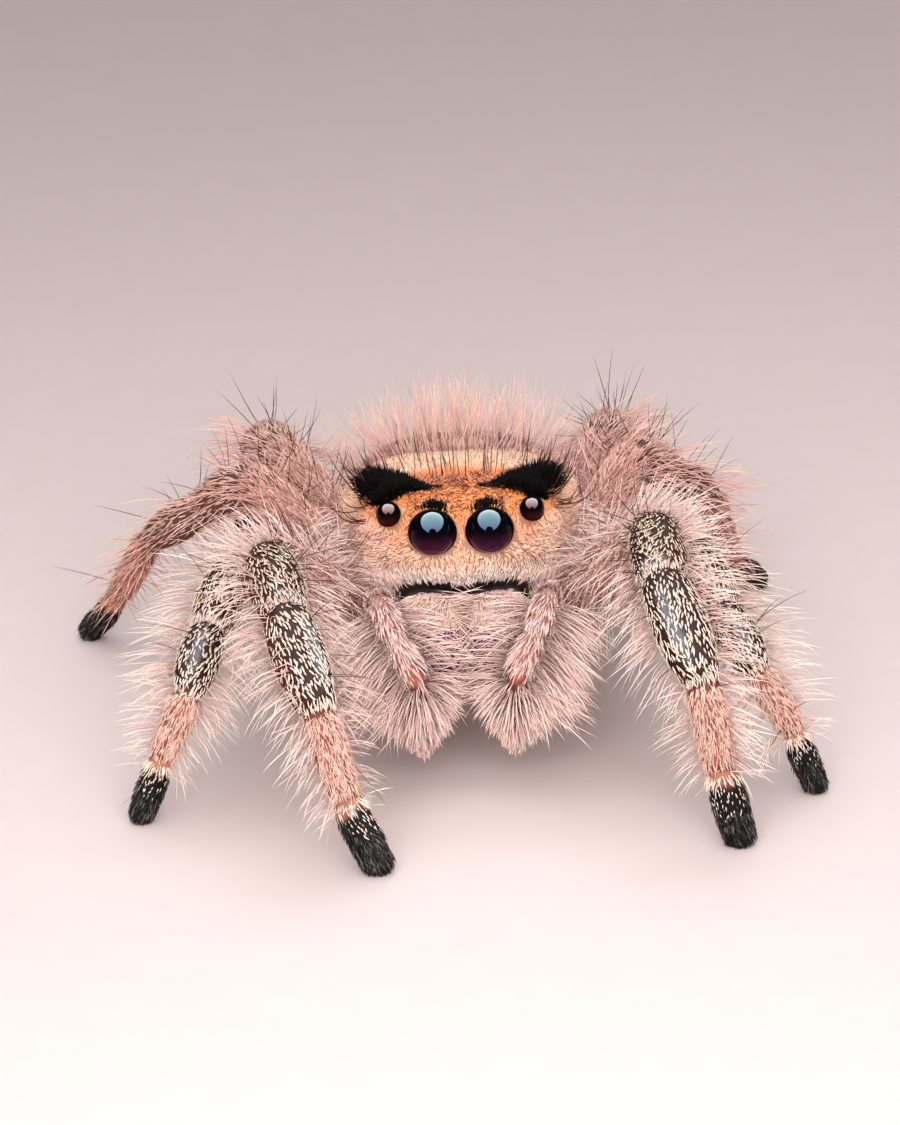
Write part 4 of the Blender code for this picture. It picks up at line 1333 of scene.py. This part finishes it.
def make_limb(joints, sizes, coat, rub=0.16, pinch=0.20, toe=0.0):
    """Centre, frame, width and depth at even steps of length.  The chain is averaged over
    +-rub mm, each joint narrows the tube by pinch exp(-(d / 0.09)^2), and the toe closes it
    as a quarter circle.  The sideways direction starts level and is carried along without
    twist: at every step it loses its part along the new axis."""
    links = np.diff(joints, axis=0)
    lengths = np.linalg.norm(links, axis=1)
    marks = np.concatenate(((0.0,), np.cumsum(lengths)))
    long_marks = np.concatenate(((-OVERHANG,), marks, (marks[-1] + OVERHANG,)))
    chain = np.vstack((joints[0] - OVERHANG * links[0] / lengths[0], joints,
                       joints[-1] + OVERHANG * links[-1] / lengths[-1]))
    reach = np.linspace(0.0, marks[-1] + toe, LIMB_STEPS)
    window = np.linspace(-rub, rub, RUB_WINDOW)
    centre = np.mean([[np.interp(reach + shift, long_marks, chain[:, axis]) for axis in range(3)]
                      for shift in window], axis=0).T
    axis = unit(np.gradient(centre, axis=0))
    across = [unit(np.cross(axis[0], (0.0, 0.0, 1.0)))]
    for way in axis[1:]:
        across.append(unit(across[-1] - (across[-1] @ way) * way))
    across = np.array(across)
    upward = np.cross(across, axis)
    part = np.clip(np.searchsorted(marks, reach, "right") - 1, 0, len(lengths) - 1)
    t = np.clip((reach - marks[part]) / lengths[part], 0.0, 1.0)
    table = np.array(sizes)[part]

    def smoothed(values):
        padded = np.pad(values, SMOOTH_STEPS // 2, mode="edge")
        return np.convolve(padded, np.ones(SMOOTH_STEPS) / SMOOTH_STEPS, "valid")

    size = table[:, 1] * (1.0 - t) + table[:, 2] * t + table[:, 3] * np.sin(math.pi * t)
    width = smoothed(table[:, 0] * size - 2.0 * coat)
    for mark in marks[1:-1]:
        width = width * (1.0 - pinch * np.exp(-((reach - mark) / JOINT_REACH) ** 2))
    if toe:
        width = width * np.sqrt(1.0 - np.clip((reach - marks[-1]) / toe, 0.0, 0.995) ** 2)
    depth = width * smoothed(table[:, 4])
    steps = np.linspace(0.0, 1.0, LIMB_STEPS)
    rows = np.column_stack((centre, across, upward, width, depth))

    def surface(u, v):
        row = np.stack([np.interp(v, steps, column) for column in rows.T], -1)
        cosine, sine = circle(u)
        point = (row[:, :3] + 0.5 * (row[:, 9] * cosine)[:, None] * row[:, 3:6]
                 + 0.5 * (row[:, 10] * sine)[:, None] * row[:, 6:9])
        point[:, 2] = np.maximum(point[:, 2], FLOOR_SKIM)
        return point
    return {"surface": surface, "marks": marks / reach[-1], "length": reach[-1]}


def place_in(limb, v):
    """Number of the segment at v, and how far along it that is, from 0 to 1."""
    marks = limb["marks"]
    part = np.clip(np.searchsorted(marks, v, "right") - 1, 0, len(marks) - 2)
    return part, np.clip((v - marks[part]) / (marks[part + 1] - marks[part]), 0.0, 1.0)


def by_segment(rule, limb):
    """A rule for one limb: it is given the spots, the number of each spot's segment and how
    far along the segment the spot is."""
    return lambda spots: rule(spots, *place_in(limb, spots["v"]))


FEMUR_DEPTH = 1.14      # in widths
TOE_LENGTH = 0.40       # in widths of the foot


def make_leg(side, pair):
    """The tube of one leg from its joints and the table of widths."""
    sizes = [(COXA_WIDTH, 1.0, 1.0, 0.0, 1.0)]
    for width, profile in zip(WIDTHS[pair], PROFILES):
        sizes.append((width, *profile, 1.0))
    sizes[1] = (*sizes[1][:4], FEMUR_DEPTH)
    return make_limb(leg_joints(side, pair), sizes, LEG_COAT, toe=TOE_LENGTH * WIDTHS[pair][-1])


LEGS = {(side, pair): make_leg(side, pair) for side in SIDES for pair in HIPS}
print("leg lengths (mm):", {f"{side} {pair}": round(leg["length"], 2) for (side, pair), leg in LEGS.items()})

# %% [markdown]
# ## Colours of the legs
# Under the scales the shell is nearly black on patella and tibia, reddish at the sides,
# salmon on the metatarsus and black on the foot.  The scales on top are cream.  A narrow
# grey-blue painted sheen runs down the top of the tibia, and another lies on top of the end of
# the patella.

# %% Ground colour and scale colour
COXA, FEMUR, PATELLA, TIBIA, METATARSUS, TARSUS = range(6)


def limb_axes(spots):
    """The limb's own sideways and upward directions, turned back out of the normal."""
    cosine, sine = circle(spots["u"])
    cosine, sine = cosine[:, None], sine[:, None]
    return (cosine * spots["normal"] - sine * spots["around"],
            sine * spots["normal"] + cosine * spots["around"])


def sway(spots):
    """1 on the limb's own sideways line, -1 opposite it, as a column."""
    return circle(spots["u"])[0][:, None]


def height_on(spots):
    """1 on the top line of a limb, 0 on its sides, -1 on its underside."""
    return circle(spots["u"])[1]


def leg_ground(limb, hind):
    """Shell colour by segment, with the marks at the joints and a painted grey-blue sheen on top of patella
    and tibia; hind legs are greyer.
    """
    def colouring(points, u, v):
        part, t = place_in(limb, v)
        top = circle(u)[1]
        soft = mottle(points, 0.35, 15)
        near_joint = np.maximum(blend(0.14, 0.02, t), blend(0.88, 0.98, t))
        pale = mix(ROSE_SAND * 0.8, GREY_BROWN, 0.35 + 0.35 * soft)
        thigh = mix(pale, DARK_BROWN, 0.25 + 0.6 * blend(0.75, 0.95, t))
        dark = mix(DARK_BROWN * 0.38, RED_BROWN * 0.55, 0.06 + 0.40 * blend(0.5, -0.3, top))
        # On top of the end of the patella the dark shell is lightened to grey-blue: a painted sheen.
        knee = mix(dark, GREY_BLUE, 0.6 * blend(0.88, 0.96, t) * blend(0.5, 0.95, top))
        # A narrow grey-blue painted sheen along the top line of the tibia, mixed into the shin colour below.
        top_sheen = blend(0.965, 0.998, top) * blend(0.1, 0.3, t) * blend(0.95, 0.7, t)
        shin = mix(dark, GREY_BLUE, 0.6 * top_sheen)
        ankle = mix(paint(168, 98, 84), RED_BROWN * 0.6, 0.45 + 0.35 * soft)
        ankle = mix(ankle, RED_BROWN * 0.35, 0.85 * near_joint)
        foot = mix(mix(RED_BROWN * 0.8, TAN, 0.25), SOOT * 0.8, blend(0.12, 0.30, t + 0.06 * soft))
        colour = np.select([(part == number)[:, None] for number in range(6)],
                           (pale, thigh, knee, shin, ankle, foot))
        return mix(colour, GREY_BROWN * 0.6, 0.35 * hind * (part < TARSUS))
    return colouring


def scale_colours(limb, hind):
    """Cream, partly golden on femur and patella, rosy elsewhere, most of all on hind legs."""
    def colours(spots, rng):
        part, _ = place_in(limb, spots["v"])
        thigh = (part <= FEMUR)[:, None]
        chance = rng.random(len(part))
        golden = np.isin(part, (FEMUR, PATELLA)) * 0.6
        colour = mix(mix(CREAM, PINK_CREAM, 0.5), paint(240, 190, 146), golden * chance)
        colour = np.where((part == METATARSUS)[:, None], mix(PALE_ROSE, SALMON, 0.45 * chance), colour)
        colour = np.where(thigh, mix(PALE_ROSE, ROSE_SAND, 0.35 * chance), colour)
        colour = mix(colour, ROSE_SAND, hind * (0.45 + 0.4 * chance))
        colour = toned(colour, rng) * np.where(thigh, 1.06, 0.90)
        # Roots darkened towards red-brown, most on coxa and femur: painted shade between the scales and
        # hairs.
        return mix(colour * 0.6, RED_BROWN * 0.8, np.where(part <= FEMUR, 0.45, 0.2)), colour
    return colours


def scale_weight(spots, part, t):
    """Chance of a scale: a few bare clouds, fewer below, and few on the foot, mostly on top."""
    high = height_on(spots)
    share = np.array((0.0, 0.0, 0.97, 0.93, 0.0, 0.85))[part]
    share = np.where(part == TARSUS, share * blend(0.78, 0.50, t + 0.14 * (1.0 - high)), share)
    share = np.where(part == PATELLA, share * blend(1.0, 0.93, t), share)
    clumps = 0.70 + 0.30 * blend(-0.5, 0.1, mottle(spots["point"], 0.22, 16))
    return share * clumps * (0.35 + 0.65 * blend(-0.6, 0.2, high))


def scale_length(spots, part, t):
    """Long on the patella, short on the foot."""
    return np.array((1.0, 1.0, 1.35, 1.0, 1.0, 0.60))[part]


def scale_slimness(spots, part, t):
    """Broadest on the tibia."""
    return np.array((1.0, 1.0, 0.92, 1.0, 1.0, 0.66))[part]


def lying_hair_weight(spots, part, t):
    """Lying hair instead of scales: coxa, femur, metatarsus and the very start of the foot."""
    share = np.array((0.5, 0.9, 0.0, 1.0, 1.15, 1.0))[part]
    share = np.where(part == TIBIA, share * blend(0.92, 0.96, t), share)
    share = np.where(part == TARSUS, share * blend(0.22, 0.08, t), share)
    bare = 0.45 + 0.55 * blend(-0.5, -0.1, mottle(spots["point"], 0.25, 18))
    share = np.where(part == METATARSUS, share * bare, share)
    return share * (0.5 + 0.5 * blend(-0.6, 0.2, height_on(spots)))


def outward_along(spots):
    return spots["along"]


def scale_lie(spots):
    """Along the leg, leaning towards its top line, so that the rows meet as a herringbone."""
    lean = np.clip(sway(spots) * 2.5, -1.0, 1.0) * blend(-0.2, 0.6, height_on(spots))[:, None]
    return spots["along"] - 0.30 * lean * limb_axes(spots)[0]


# %% [markdown]
# ## Hair of the legs
# Long pale hairs stand out from the sides and from below, bending towards the foot.  Single
# dark bristles rise from the top.  The foot ends in a soft black brush, the pad on which the
# spider holds to glass.


# %% Long hairs, bristles and foot brush
def fringe_weight(spots, part, t):
    """The sides and the underside, and on the femur the lower part of the top as well."""
    share = np.array((0.6, 1.35, 0.8, 1.0, 1.25, 0.9))[part]
    share = np.where(part == TARSUS, share * blend(0.30, 0.05, t), share)
    high = height_on(spots)
    high = high - 0.5 * (part == FEMUR) * (high > 0.0)
    return share * (0.02 + blend(0.75, 0.2, high)) * (0.6 + 0.4 * blend(-1.0, -0.2, high))


def fringe_length(spots, part, t):
    """Values at the seven ends of the segments, and evenly between them."""
    share = np.array((0.7, 1.05, 1.0, 1.1, 0.95, 0.72, 0.4))
    return share[part] * (1.0 - t) + share[part + 1] * t


def fringe_lie(spots):
    """Out to the sides and below, then bending along the leg and down."""
    outward = 0.60 * spots["normal"] + limb_axes(spots)[0] * np.sign(sway(spots)) * 0.5
    return (outward + 0.25 * spots["along"],
            0.75 * outward + 0.45 * spots["along"] + np.array((0.0, 0.0, -0.30)))


def bristle_weight(spots, part, t):
    """The upper half, most on the patella and none on coxa and foot."""
    return np.array((0.0, 0.7, 1.0, 0.7, 0.4, 0.0))[part] * blend(0.1, 0.8, height_on(spots))


def brush_weight(spots, part, t):
    """The outer half of the foot, and its sides and sole from nearer the body."""
    return (part == TARSUS) * blend(0.10, 0.40, t - 0.40 * blend(-0.1, 0.5, height_on(spots)))


def cuff_weight(spots, part, t):
    """The pale cuff of hairs at the end of the patella."""
    return (part == PATELLA) * blend(0.90, 0.96, t) * (0.2 + blend(-0.2, 0.5, height_on(spots)))


def fringe_colours(spots, rng):
    colour = one_tone(mix(PALE_ROSE, WHITE_HAIR, 0.50), spots, rng, 0.18)
    # The root is darkened towards red-brown and salmon: painted shade between hairs.
    return mix(colour * 0.6, mix(RED_BROWN, BARE_SALMON, 0.4), 0.60), colour


def hind_fringe_colours(spots, rng):
    root, tip = fringe_colours(spots, rng)
    return mix(root, ROSE_SAND * 0.7, 0.5), mix(tip, ROSE_SAND, 0.65)


def brush_colours(spots, rng):
    """Black, with a darker root as painted shade, and a painted grey sheen on the tips of about a fifth of
    the hairs.
    """
    colour = one_tone(SOOT, spots, rng, 0.4)
    # A painted grey highlight on the tip of about one hair in five.
    painted_sheen = (rng.random(len(colour)) < 0.22)[:, None]
    return colour * 0.7, np.where(painted_sheen, mix(SOOT, mix(GREY_BLUE, TAN, 0.3), 0.55), colour)


SCALE_GAP = 0.097
LEG_GRID = (170, 26)
FIRST_LEG_SEED = 100
LYING_HAIRS = {True: 3500, False: 3000}     # number on a leg of the front two pairs, and behind
FRINGE_HAIRS = {True: 1080, False: 540}
for index, ((side, pair), limb) in enumerate(LEGS.items()):
    name = f"leg_{side}_{pair}"
    surface = limb["surface"]
    near, hind = pair <= 2, float(pair >= 3)
    seed = FIRST_LEG_SEED + 10 * index
    add_piece(f"{name}_skin", [closed_surface(surface, *LEG_GRID, leg_ground(limb, hind))], LEG_SKIN,
              [f"{name}_{part}" for part in LEG_PARTS[1:]])
    scales = grow(surface, None, seed, by_segment(scale_weight, limb), scale_lie,
                  scale_colours(limb, hind), (0.19, 0.28), (0.043, 0.057), lift=(18, 3), spread=0.22,
                  flat=0.3, widest=0.5, stretch=by_segment(scale_length, limb),
                  slim=by_segment(scale_slimness, limb), in_rows=(limb["length"], SCALE_GAP))
    hairs = grow(surface, LYING_HAIRS[near], seed + 5, by_segment(lying_hair_weight, limb),
                 outward_along, scale_colours(limb, hind), (0.20, 0.32), (0.026, 0.038), lift=(22, 4),
                 spread=0.26)
    cuff = grow(surface, 200, seed + 1, by_segment(cuff_weight, limb), outward_along, fringe_colours,
                (0.18, 0.28), (0.026, 0.036), lift=(34, 6), spread=0.25)
    add_piece(f"{name}_scales", [scales, hairs, cuff], FLAT_SCALE)
    fringe = grow(surface, FRINGE_HAIRS[near], seed + 2, by_segment(fringe_weight, limb), fringe_lie,
                  fringe_colours if near else hind_fringe_colours, (0.70, 1.45), (0.019, 0.027),
                  lift=None, spread=0.22, rings=4, flat=0.9, widest=0.35,
                  stretch=by_segment(fringe_length, limb))
    add_piece(f"{name}_fringe", [fringe], SOFT_HAIR)
    bristles = grow(surface, 38, seed + 3, by_segment(bristle_weight, limb), outward_along,
                    dark_hair_colours, (0.7, 1.55), (0.016, 0.023), lift=(76, 56), spread=0.4,
                    rings=5, flat=0.9, widest=0.25)
    add_piece(f"{name}_bristles", [bristles], DARK_BRISTLE)
    brush = grow(surface, 1100, seed + 4, by_segment(brush_weight, limb), outward_along, brush_colours,
                 (0.16, 0.28), (0.020, 0.030), lift=(26, 4), spread=0.22, flat=0.7)
    add_piece(f"{name}_brush", [brush], SOFT_HAIR)


# %% [markdown]
# ## Palps
# The two palps hang in front of the jaws like short arms.  Cream hairs lie along them, and
# long hairs fan out from the last joint and bend down, so that its end looks like a soft
# brush.  Two small bare patches of salmon shell show just above it.

# %% Palp tubes
PALP_JOINTS = ((1.58, 0.92, 2.78), (1.70, -0.62, 3.86), (1.45, -1.08, 3.26), (1.04, -1.26, 2.46))
PALP_TIP = (0.88, -1.16, 0.54)
PALP_BASE, PALP_KNEE, PALP_TIBIA, PALP_END = range(4)
PALP_SIZES = ((0.62, 0.80, 0.94, 0.06, 1.0), (0.62, 0.94, 0.90, 0.12, 1.0),
              (0.62, 0.90, 1.05, 0.08, 1.0), (0.66, 0.80, 0.70, 0.30, 1.0))
PALP_COAT = 0.07
PALP_GRID = (110, 28)


def make_palp(side):
    """Three arm segments, then the last joint, a slim drop."""
    mirror = np.array((SIDES[side], 1.0, 1.0))
    tip = np.array(PALP_JOINTS[3]) + (np.array(PALP_TIP) - np.array(PALP_JOINTS[3])) * 0.68
    joints = np.array((*PALP_JOINTS, tip)) * mirror
    return make_limb(joints, PALP_SIZES, PALP_COAT, rub=0.12, pinch=0.14, toe=0.26)


def palp_ground(limb):
    """Reddish brown, darkened as painted shade of the gaps between the hairs, with the bare salmon ring at
    the last joint and a grey knob at the knee.
    """
    def colouring(points, u, v):
        part, t = place_in(limb, v)
        bare = np.exp(-((v - limb["marks"][3]) / 0.022) ** 2)[:, None]
        colour = mix(mix(RED_BROWN, DARK_BROWN, 0.35) * 0.8, ROSE_SAND, 0.34 + 0.14 * mottle(points, 0.3, 17))
        # The last joint is painted dark red-brown up to its tip: painted shade of the gaps between the fan
        # hairs.
        end = mix(RED_BROWN * 0.35, ROSE_SAND, blend(0.75, 1.0, t))
        colour = np.where((part == PALP_END)[:, None], end, colour)
        colour = colour * (1.0 - bare) + BARE_SALMON * 0.55 * bare
        knob = (part == PALP_KNEE) * blend(0.30, 0.05, t) * blend(-0.2, 0.6, circle(u)[1])
        return mix(colour, mix(GREY_BLUE, TAN, 0.6), 0.7 * knob)
    return colouring


# %% Palp hair
def palp_hair_colours(spots, rng):
    colour = one_tone(mix(PALE_ROSE, paint(255, 222, 212), 0.7), spots, rng, 0.24)
    # The root is darkened almost to red-brown: painted shade between hairs.
    return mix(colour * 0.25, RED_BROWN * 0.4, 0.8), colour * 1.03


def lying_weight(limb):
    """All over the arm but for the bare patches either side of the top line."""
    def where(spots):
        part, _ = place_in(limb, spots["v"])
        beside = np.abs(np.abs(spots["u"] - 0.25) - 0.10) < 0.065
        ahead = limb["marks"][3] - spots["v"]
        bare = (ahead > -0.012) * (ahead < 0.046) * beside
        return (1.0 - 0.97 * bare) * np.array((0.8, 1.0, 1.0, 0.5))[part]
    return where


def fan_weight(spots, part, t):
    """The last joint: all round, and most along the middle of its front."""
    return (part == PALP_END) * blend(0.0, 0.10, t) * (0.6 + 0.8 * blend(0.2, 1.0, height_on(spots)))


def fan_lie(spots):
    """Away from the middle line and outward, then bending down along the joint."""
    sideways = sway(spots) * limb_axes(spots)[0]
    return (1.35 * sideways + 0.45 * spots["normal"] + 0.55 * spots["along"],
            0.50 * sideways + 0.05 * spots["normal"] + 1.15 * spots["along"])


def fan_length(spots, part, t):
    """Longest in the upper half of the last joint."""
    return np.interp(t, (0.0, 0.2, 0.6, 1.0), (0.95, 1.0, 0.72, 0.30))


def away_from_limb(spots):
    """The x part of the limb's sideways direction on the side where a spot is."""
    return limb_axes(spots)[0][:, 0] * sway(spots)[:, 0]


def side_weight(spots, part, t):
    """The two sides of the arm, and the upper end of the last joint."""
    high = height_on(spots)
    share = np.array((0.06, 0.9, 1.2, 1.0))[part] * np.where(part == PALP_END, blend(0.6, 0.1, t), 1.0)
    share = np.where(part == PALP_BASE, share * blend(0.6, 0.4, t), share)
    share = np.where(part == PALP_KNEE, share * blend(0.15, 0.35, t), share)
    inner = away_from_limb(spots) * spots["point"][:, 0] < 0.0
    share = np.where(inner * (part < PALP_END), 0.62 * share, share)
    return share * blend(0.9, 0.5, high) * (0.2 + blend(-1.0, -0.3, high))


def side_lie(spots):
    """Straight out from the sides, bending gently along the palp and down."""
    outward = limb_axes(spots)[0] * np.sign(sway(spots))
    return (outward + 0.35 * spots["normal"] + 0.15 * spots["along"],
            outward + 0.55 * spots["along"] + np.array((0.0, 0.0, -0.25)))


def side_length(spots, sign, x):
    """Longer on the side away from the mouth."""
    return np.where(np.sign(away_from_limb(spots)) * sign > 0.0, 1.40, 1.15)


for index, side in enumerate(SIDES):
    limb = make_palp(side)
    surface = limb["surface"]
    add_piece(f"palp_{side}_skin", [closed_surface(surface, *PALP_GRID, palp_ground(limb))], LEG_SKIN,
              [f"palp_{side}_arm", f"palp_{side}_tip"])
    lying = grow(surface, 2000, 61 + index, lying_weight(limb), outward_along, palp_hair_colours,
                 (0.26, 0.40), (0.024, 0.034), lift=(26, 8), rings=3, flat=0.5)
    fan = grow(surface, 560, 63 + index, by_segment(fan_weight, limb), fan_lie, palp_hair_colours,
               (0.75, 1.15), (0.025, 0.035), lift=None, spread=0.15, rings=5, flat=0.8,
               stretch=by_segment(fan_length, limb))
    sides = grow(surface, 440, 65 + index, by_segment(side_weight, limb), side_lie, palp_hair_colours,
                 (0.75, 1.25), (0.021, 0.029), lift=None, spread=0.22, rings=5, flat=0.9,
                 stretch=on_side(side_length, side))
    add_piece(f"palp_{side}_coat", [lying, fan, sides], SOFT_HAIR)


# %% [markdown]
# ## Jaws
# Behind the palps stand two stout jaws of hard shell that shimmers violet and blue, each
# with a fang folded in at its end.  A band of short cream hair covers their top.

# %% Jaws
JAW_TOP = (0.66, 0.22, 3.76)
JAW_END = (0.58, 0.10, 1.78)
JAW_HALF_SIZE = (0.57, 0.50)
FANG_TIP = (0.20, 0.42, 1.36)
JAW_SHARE = 0.78        # part of the length that is jaw, before the fang begins
JAW_POWER = 2.6


def jaw_surface(side):
    """Rounded-square rings down the jaw, bulging forward in the middle, then a thin fang."""
    mirror = np.array((SIDES[side], 1.0, 1.0))
    top, end, fang = (np.array(point) * mirror for point in (JAW_TOP, JAW_END, FANG_TIP))

    def surface(u, v):
        v = np.clip(v, 0.0003, 0.998)
        t = np.clip(v / JAW_SHARE, 0.0, 1.0)
        f = np.clip((v - JAW_SHARE) / (1.0 - JAW_SHARE), 0.0, 1.0)
        size = (0.88 + 0.10 * np.sin(math.pi * t) - 0.22 * t ** 2) * closing(v, 0.06, 2.0)
        size = size * (1.0 - 0.60 * blend(0.0, 0.25, f)) * (1.0 - 0.9 * f)
        bulge = -0.13 * np.sin(math.pi * np.minimum(t * 1.15, 1.0)) - 0.10 * np.sin(math.pi * f)
        middle = top + (end - top) * t[:, None] + (fang - end) * f[:, None]
        across, forward = circle(u)
        reach = squaring(across, forward, JAW_POWER)
        return middle + arrows(across * reach * size * JAW_HALF_SIZE[0],
                               bulge + forward * reach * size * JAW_HALF_SIZE[1], 0.0)
    return surface


def violet_shell():
    """Metallic shell between violet, blue and wine red, by noise on Object coordinates; painted
    nearly black at the back, as the shade inside the mouth."""
    material, nodes, links, shader = node_material("violet_shell_gloss")
    set_inputs(shader, Metallic=0.35, Roughness=0.42)
    place, split = add_node(nodes, "TexCoord"), add_node(nodes, "SeparateXYZ")
    cloud = add_node(nodes, "TexNoise", Scale=1.0 / (0.35 * MM))
    wrinkle = add_node(nodes, "TexNoise", Scale=1.0 / (0.06 * MM))
    dent = add_node(nodes, "Bump", Strength=0.7, Distance=0.03 * MM)
    rear = add_node(nodes, "MapRange", From_Min=PLAN_ORIGIN[1] + 0.06 * MM,
                    From_Max=PLAN_ORIGIN[1] + 0.16 * MM)
    shade = add_node(nodes, "MixRGB", Color2=(*paint(30, 10, 10), 1.0))
    colours = add_node(nodes, "ValToRGB")
    ramp = colours.color_ramp.elements
    ramp[0].position, ramp[1].position = 0.32, 0.66
    ramp.new(0.5)
    for stop, colour in zip(ramp, (paint(58, 44, 112), paint(96, 48, 122), paint(112, 40, 82))):
        stop.color = (*colour, 1.0)
    join(links, (place, "Object", cloud, "Vector"), (place, "Object", wrinkle, "Vector"),
         (place, "Object", split, "Vector"), (cloud, "Fac", colours, "Fac"),
         (split, "Y", rear, "Value"), (rear, "Result", shade, "Fac"),
         (colours, "Color", shade, "Color1"), (shade, "Color", shader, "Base Color"),
         (wrinkle, "Fac", dent, "Height"), (dent, "Normal", shader, "Normal"))
    return material


def band_weight(spots):
    """The band below the top of the jaw, thinning out downward, and not inside the mouth."""
    _, y, z = side_y_z(spots["point"])
    return blend(3.20, 3.34, z) * blend(0.16, 0.06, y)


def band_lie(spots):
    """Forward over the top of the jaw, down its front and a little outward."""
    return arrows(0.25 * np.sign(spots["point"][:, 0]), -0.5, -1.0)


def cross_weight(spots):
    """Front of the jaw below the band, and most beside the gap between the two jaws."""
    side, y, z = side_y_z(spots["point"])
    between = blend(0.42, 0.22, side) * blend(3.0, 3.2, z) * blend(3.76, 3.68, z)
    return (blend(1.7, 2.1, z) * blend(3.22, 2.95, z) + 4.0 * between) * (y < 0.2)


def cross_lie(spots):
    """Forward and to the middle, bending down, but level or rising near the top."""
    sign = np.sign(spots["point"][:, 0])
    high = blend(3.2, 3.6, spots["point"][:, 2])
    return (arrows(-0.6 * sign, high * 0.2 - 0.7, high * 0.6 - 0.3),
            arrows(-0.8 * sign, -0.1, high - 0.9))


JAW_GRID = (80, 40)
violet = violet_shell()
jaw_hairs = []
for index, side in enumerate(SIDES):
    surface = jaw_surface(side)
    jaw = closed_surface(surface, *JAW_GRID, lambda points, u, v: np.zeros_like(points))
    add_piece(f"jaw_{side}_shell", [jaw], violet, [f"jaw_{side}"])
    tile = (0.5 * index, 0.5 * index + 0.5)
    jaw_hairs.append(grow(surface, 1300, 71 + index, band_weight, band_lie, pink_colours, (0.18, 0.34),
                          (0.024, 0.034), lift=(24, 6), spread=0.25, rings=3, tile=tile))
    jaw_hairs.append(grow(surface, 150, 73 + index, cross_weight, cross_lie, pink_colours, (0.50, 1.05),
                          (0.022, 0.030), lift=None, rings=4, flat=0.9, widest=0.3, tile=tile))
add_piece("jaw_hair", jaw_hairs, SOFT_HAIR)

# %% [markdown]
# ## Spinnerets
# At the rear end the silk comes out of a small bunch of cones.  Each is a tapered tube.


# %% Spinnerets
CONE_RADIUS = 0.20
CONE_ROOT_Y = 12.8
CONES = ((0.19, 2.38, 0.06, 13.78), (-0.19, 2.38, 0.06, 13.78), (0.20, 2.08, -0.06, 13.72),
         (-0.20, 2.08, -0.06, 13.72))      # x and z of the middle, half the rise, y of the tip
CONE_GRID = (20, 20)


def cone_surface(start, end, radius):
    """Rings of radius r (1 - 0.55 v), closed at the far end by a quarter circle."""
    start, end = np.array(start), np.array(end)
    axis = unit(end - start)
    across = unit(np.cross(axis, (0.0, 0.0, 1.0)))
    upward = np.cross(across, axis)

    def surface(u, v):
        closing = np.clip((v - 0.8) / 0.21, 0.0, 1.0)
        size = radius * (1.0 - 0.55 * v) * np.sqrt(np.clip(1.0 - closing ** 2, 0.0, 1.0))
        cosine, sine = circle(u)
        ring = cosine[:, None] * across + sine[:, None] * upward
        return start + (end - start) * v[:, None] + size[:, None] * ring
    return surface


def spinneret_colour(points, u, v):
    return mix(mix(TAN, GREY_BROWN, 0.5), DARK_BROWN, 0.35 + 0.4 * v)


cones = [closed_surface(cone_surface((x, CONE_ROOT_Y, z - tilt), (x * 1.35, reach, z + tilt), CONE_RADIUS),
                        *CONE_GRID, spinneret_colour) for x, z, tilt, reach in CONES]
add_piece("spinneret_cones", cones, LEG_SKIN, ["spinnerets"])
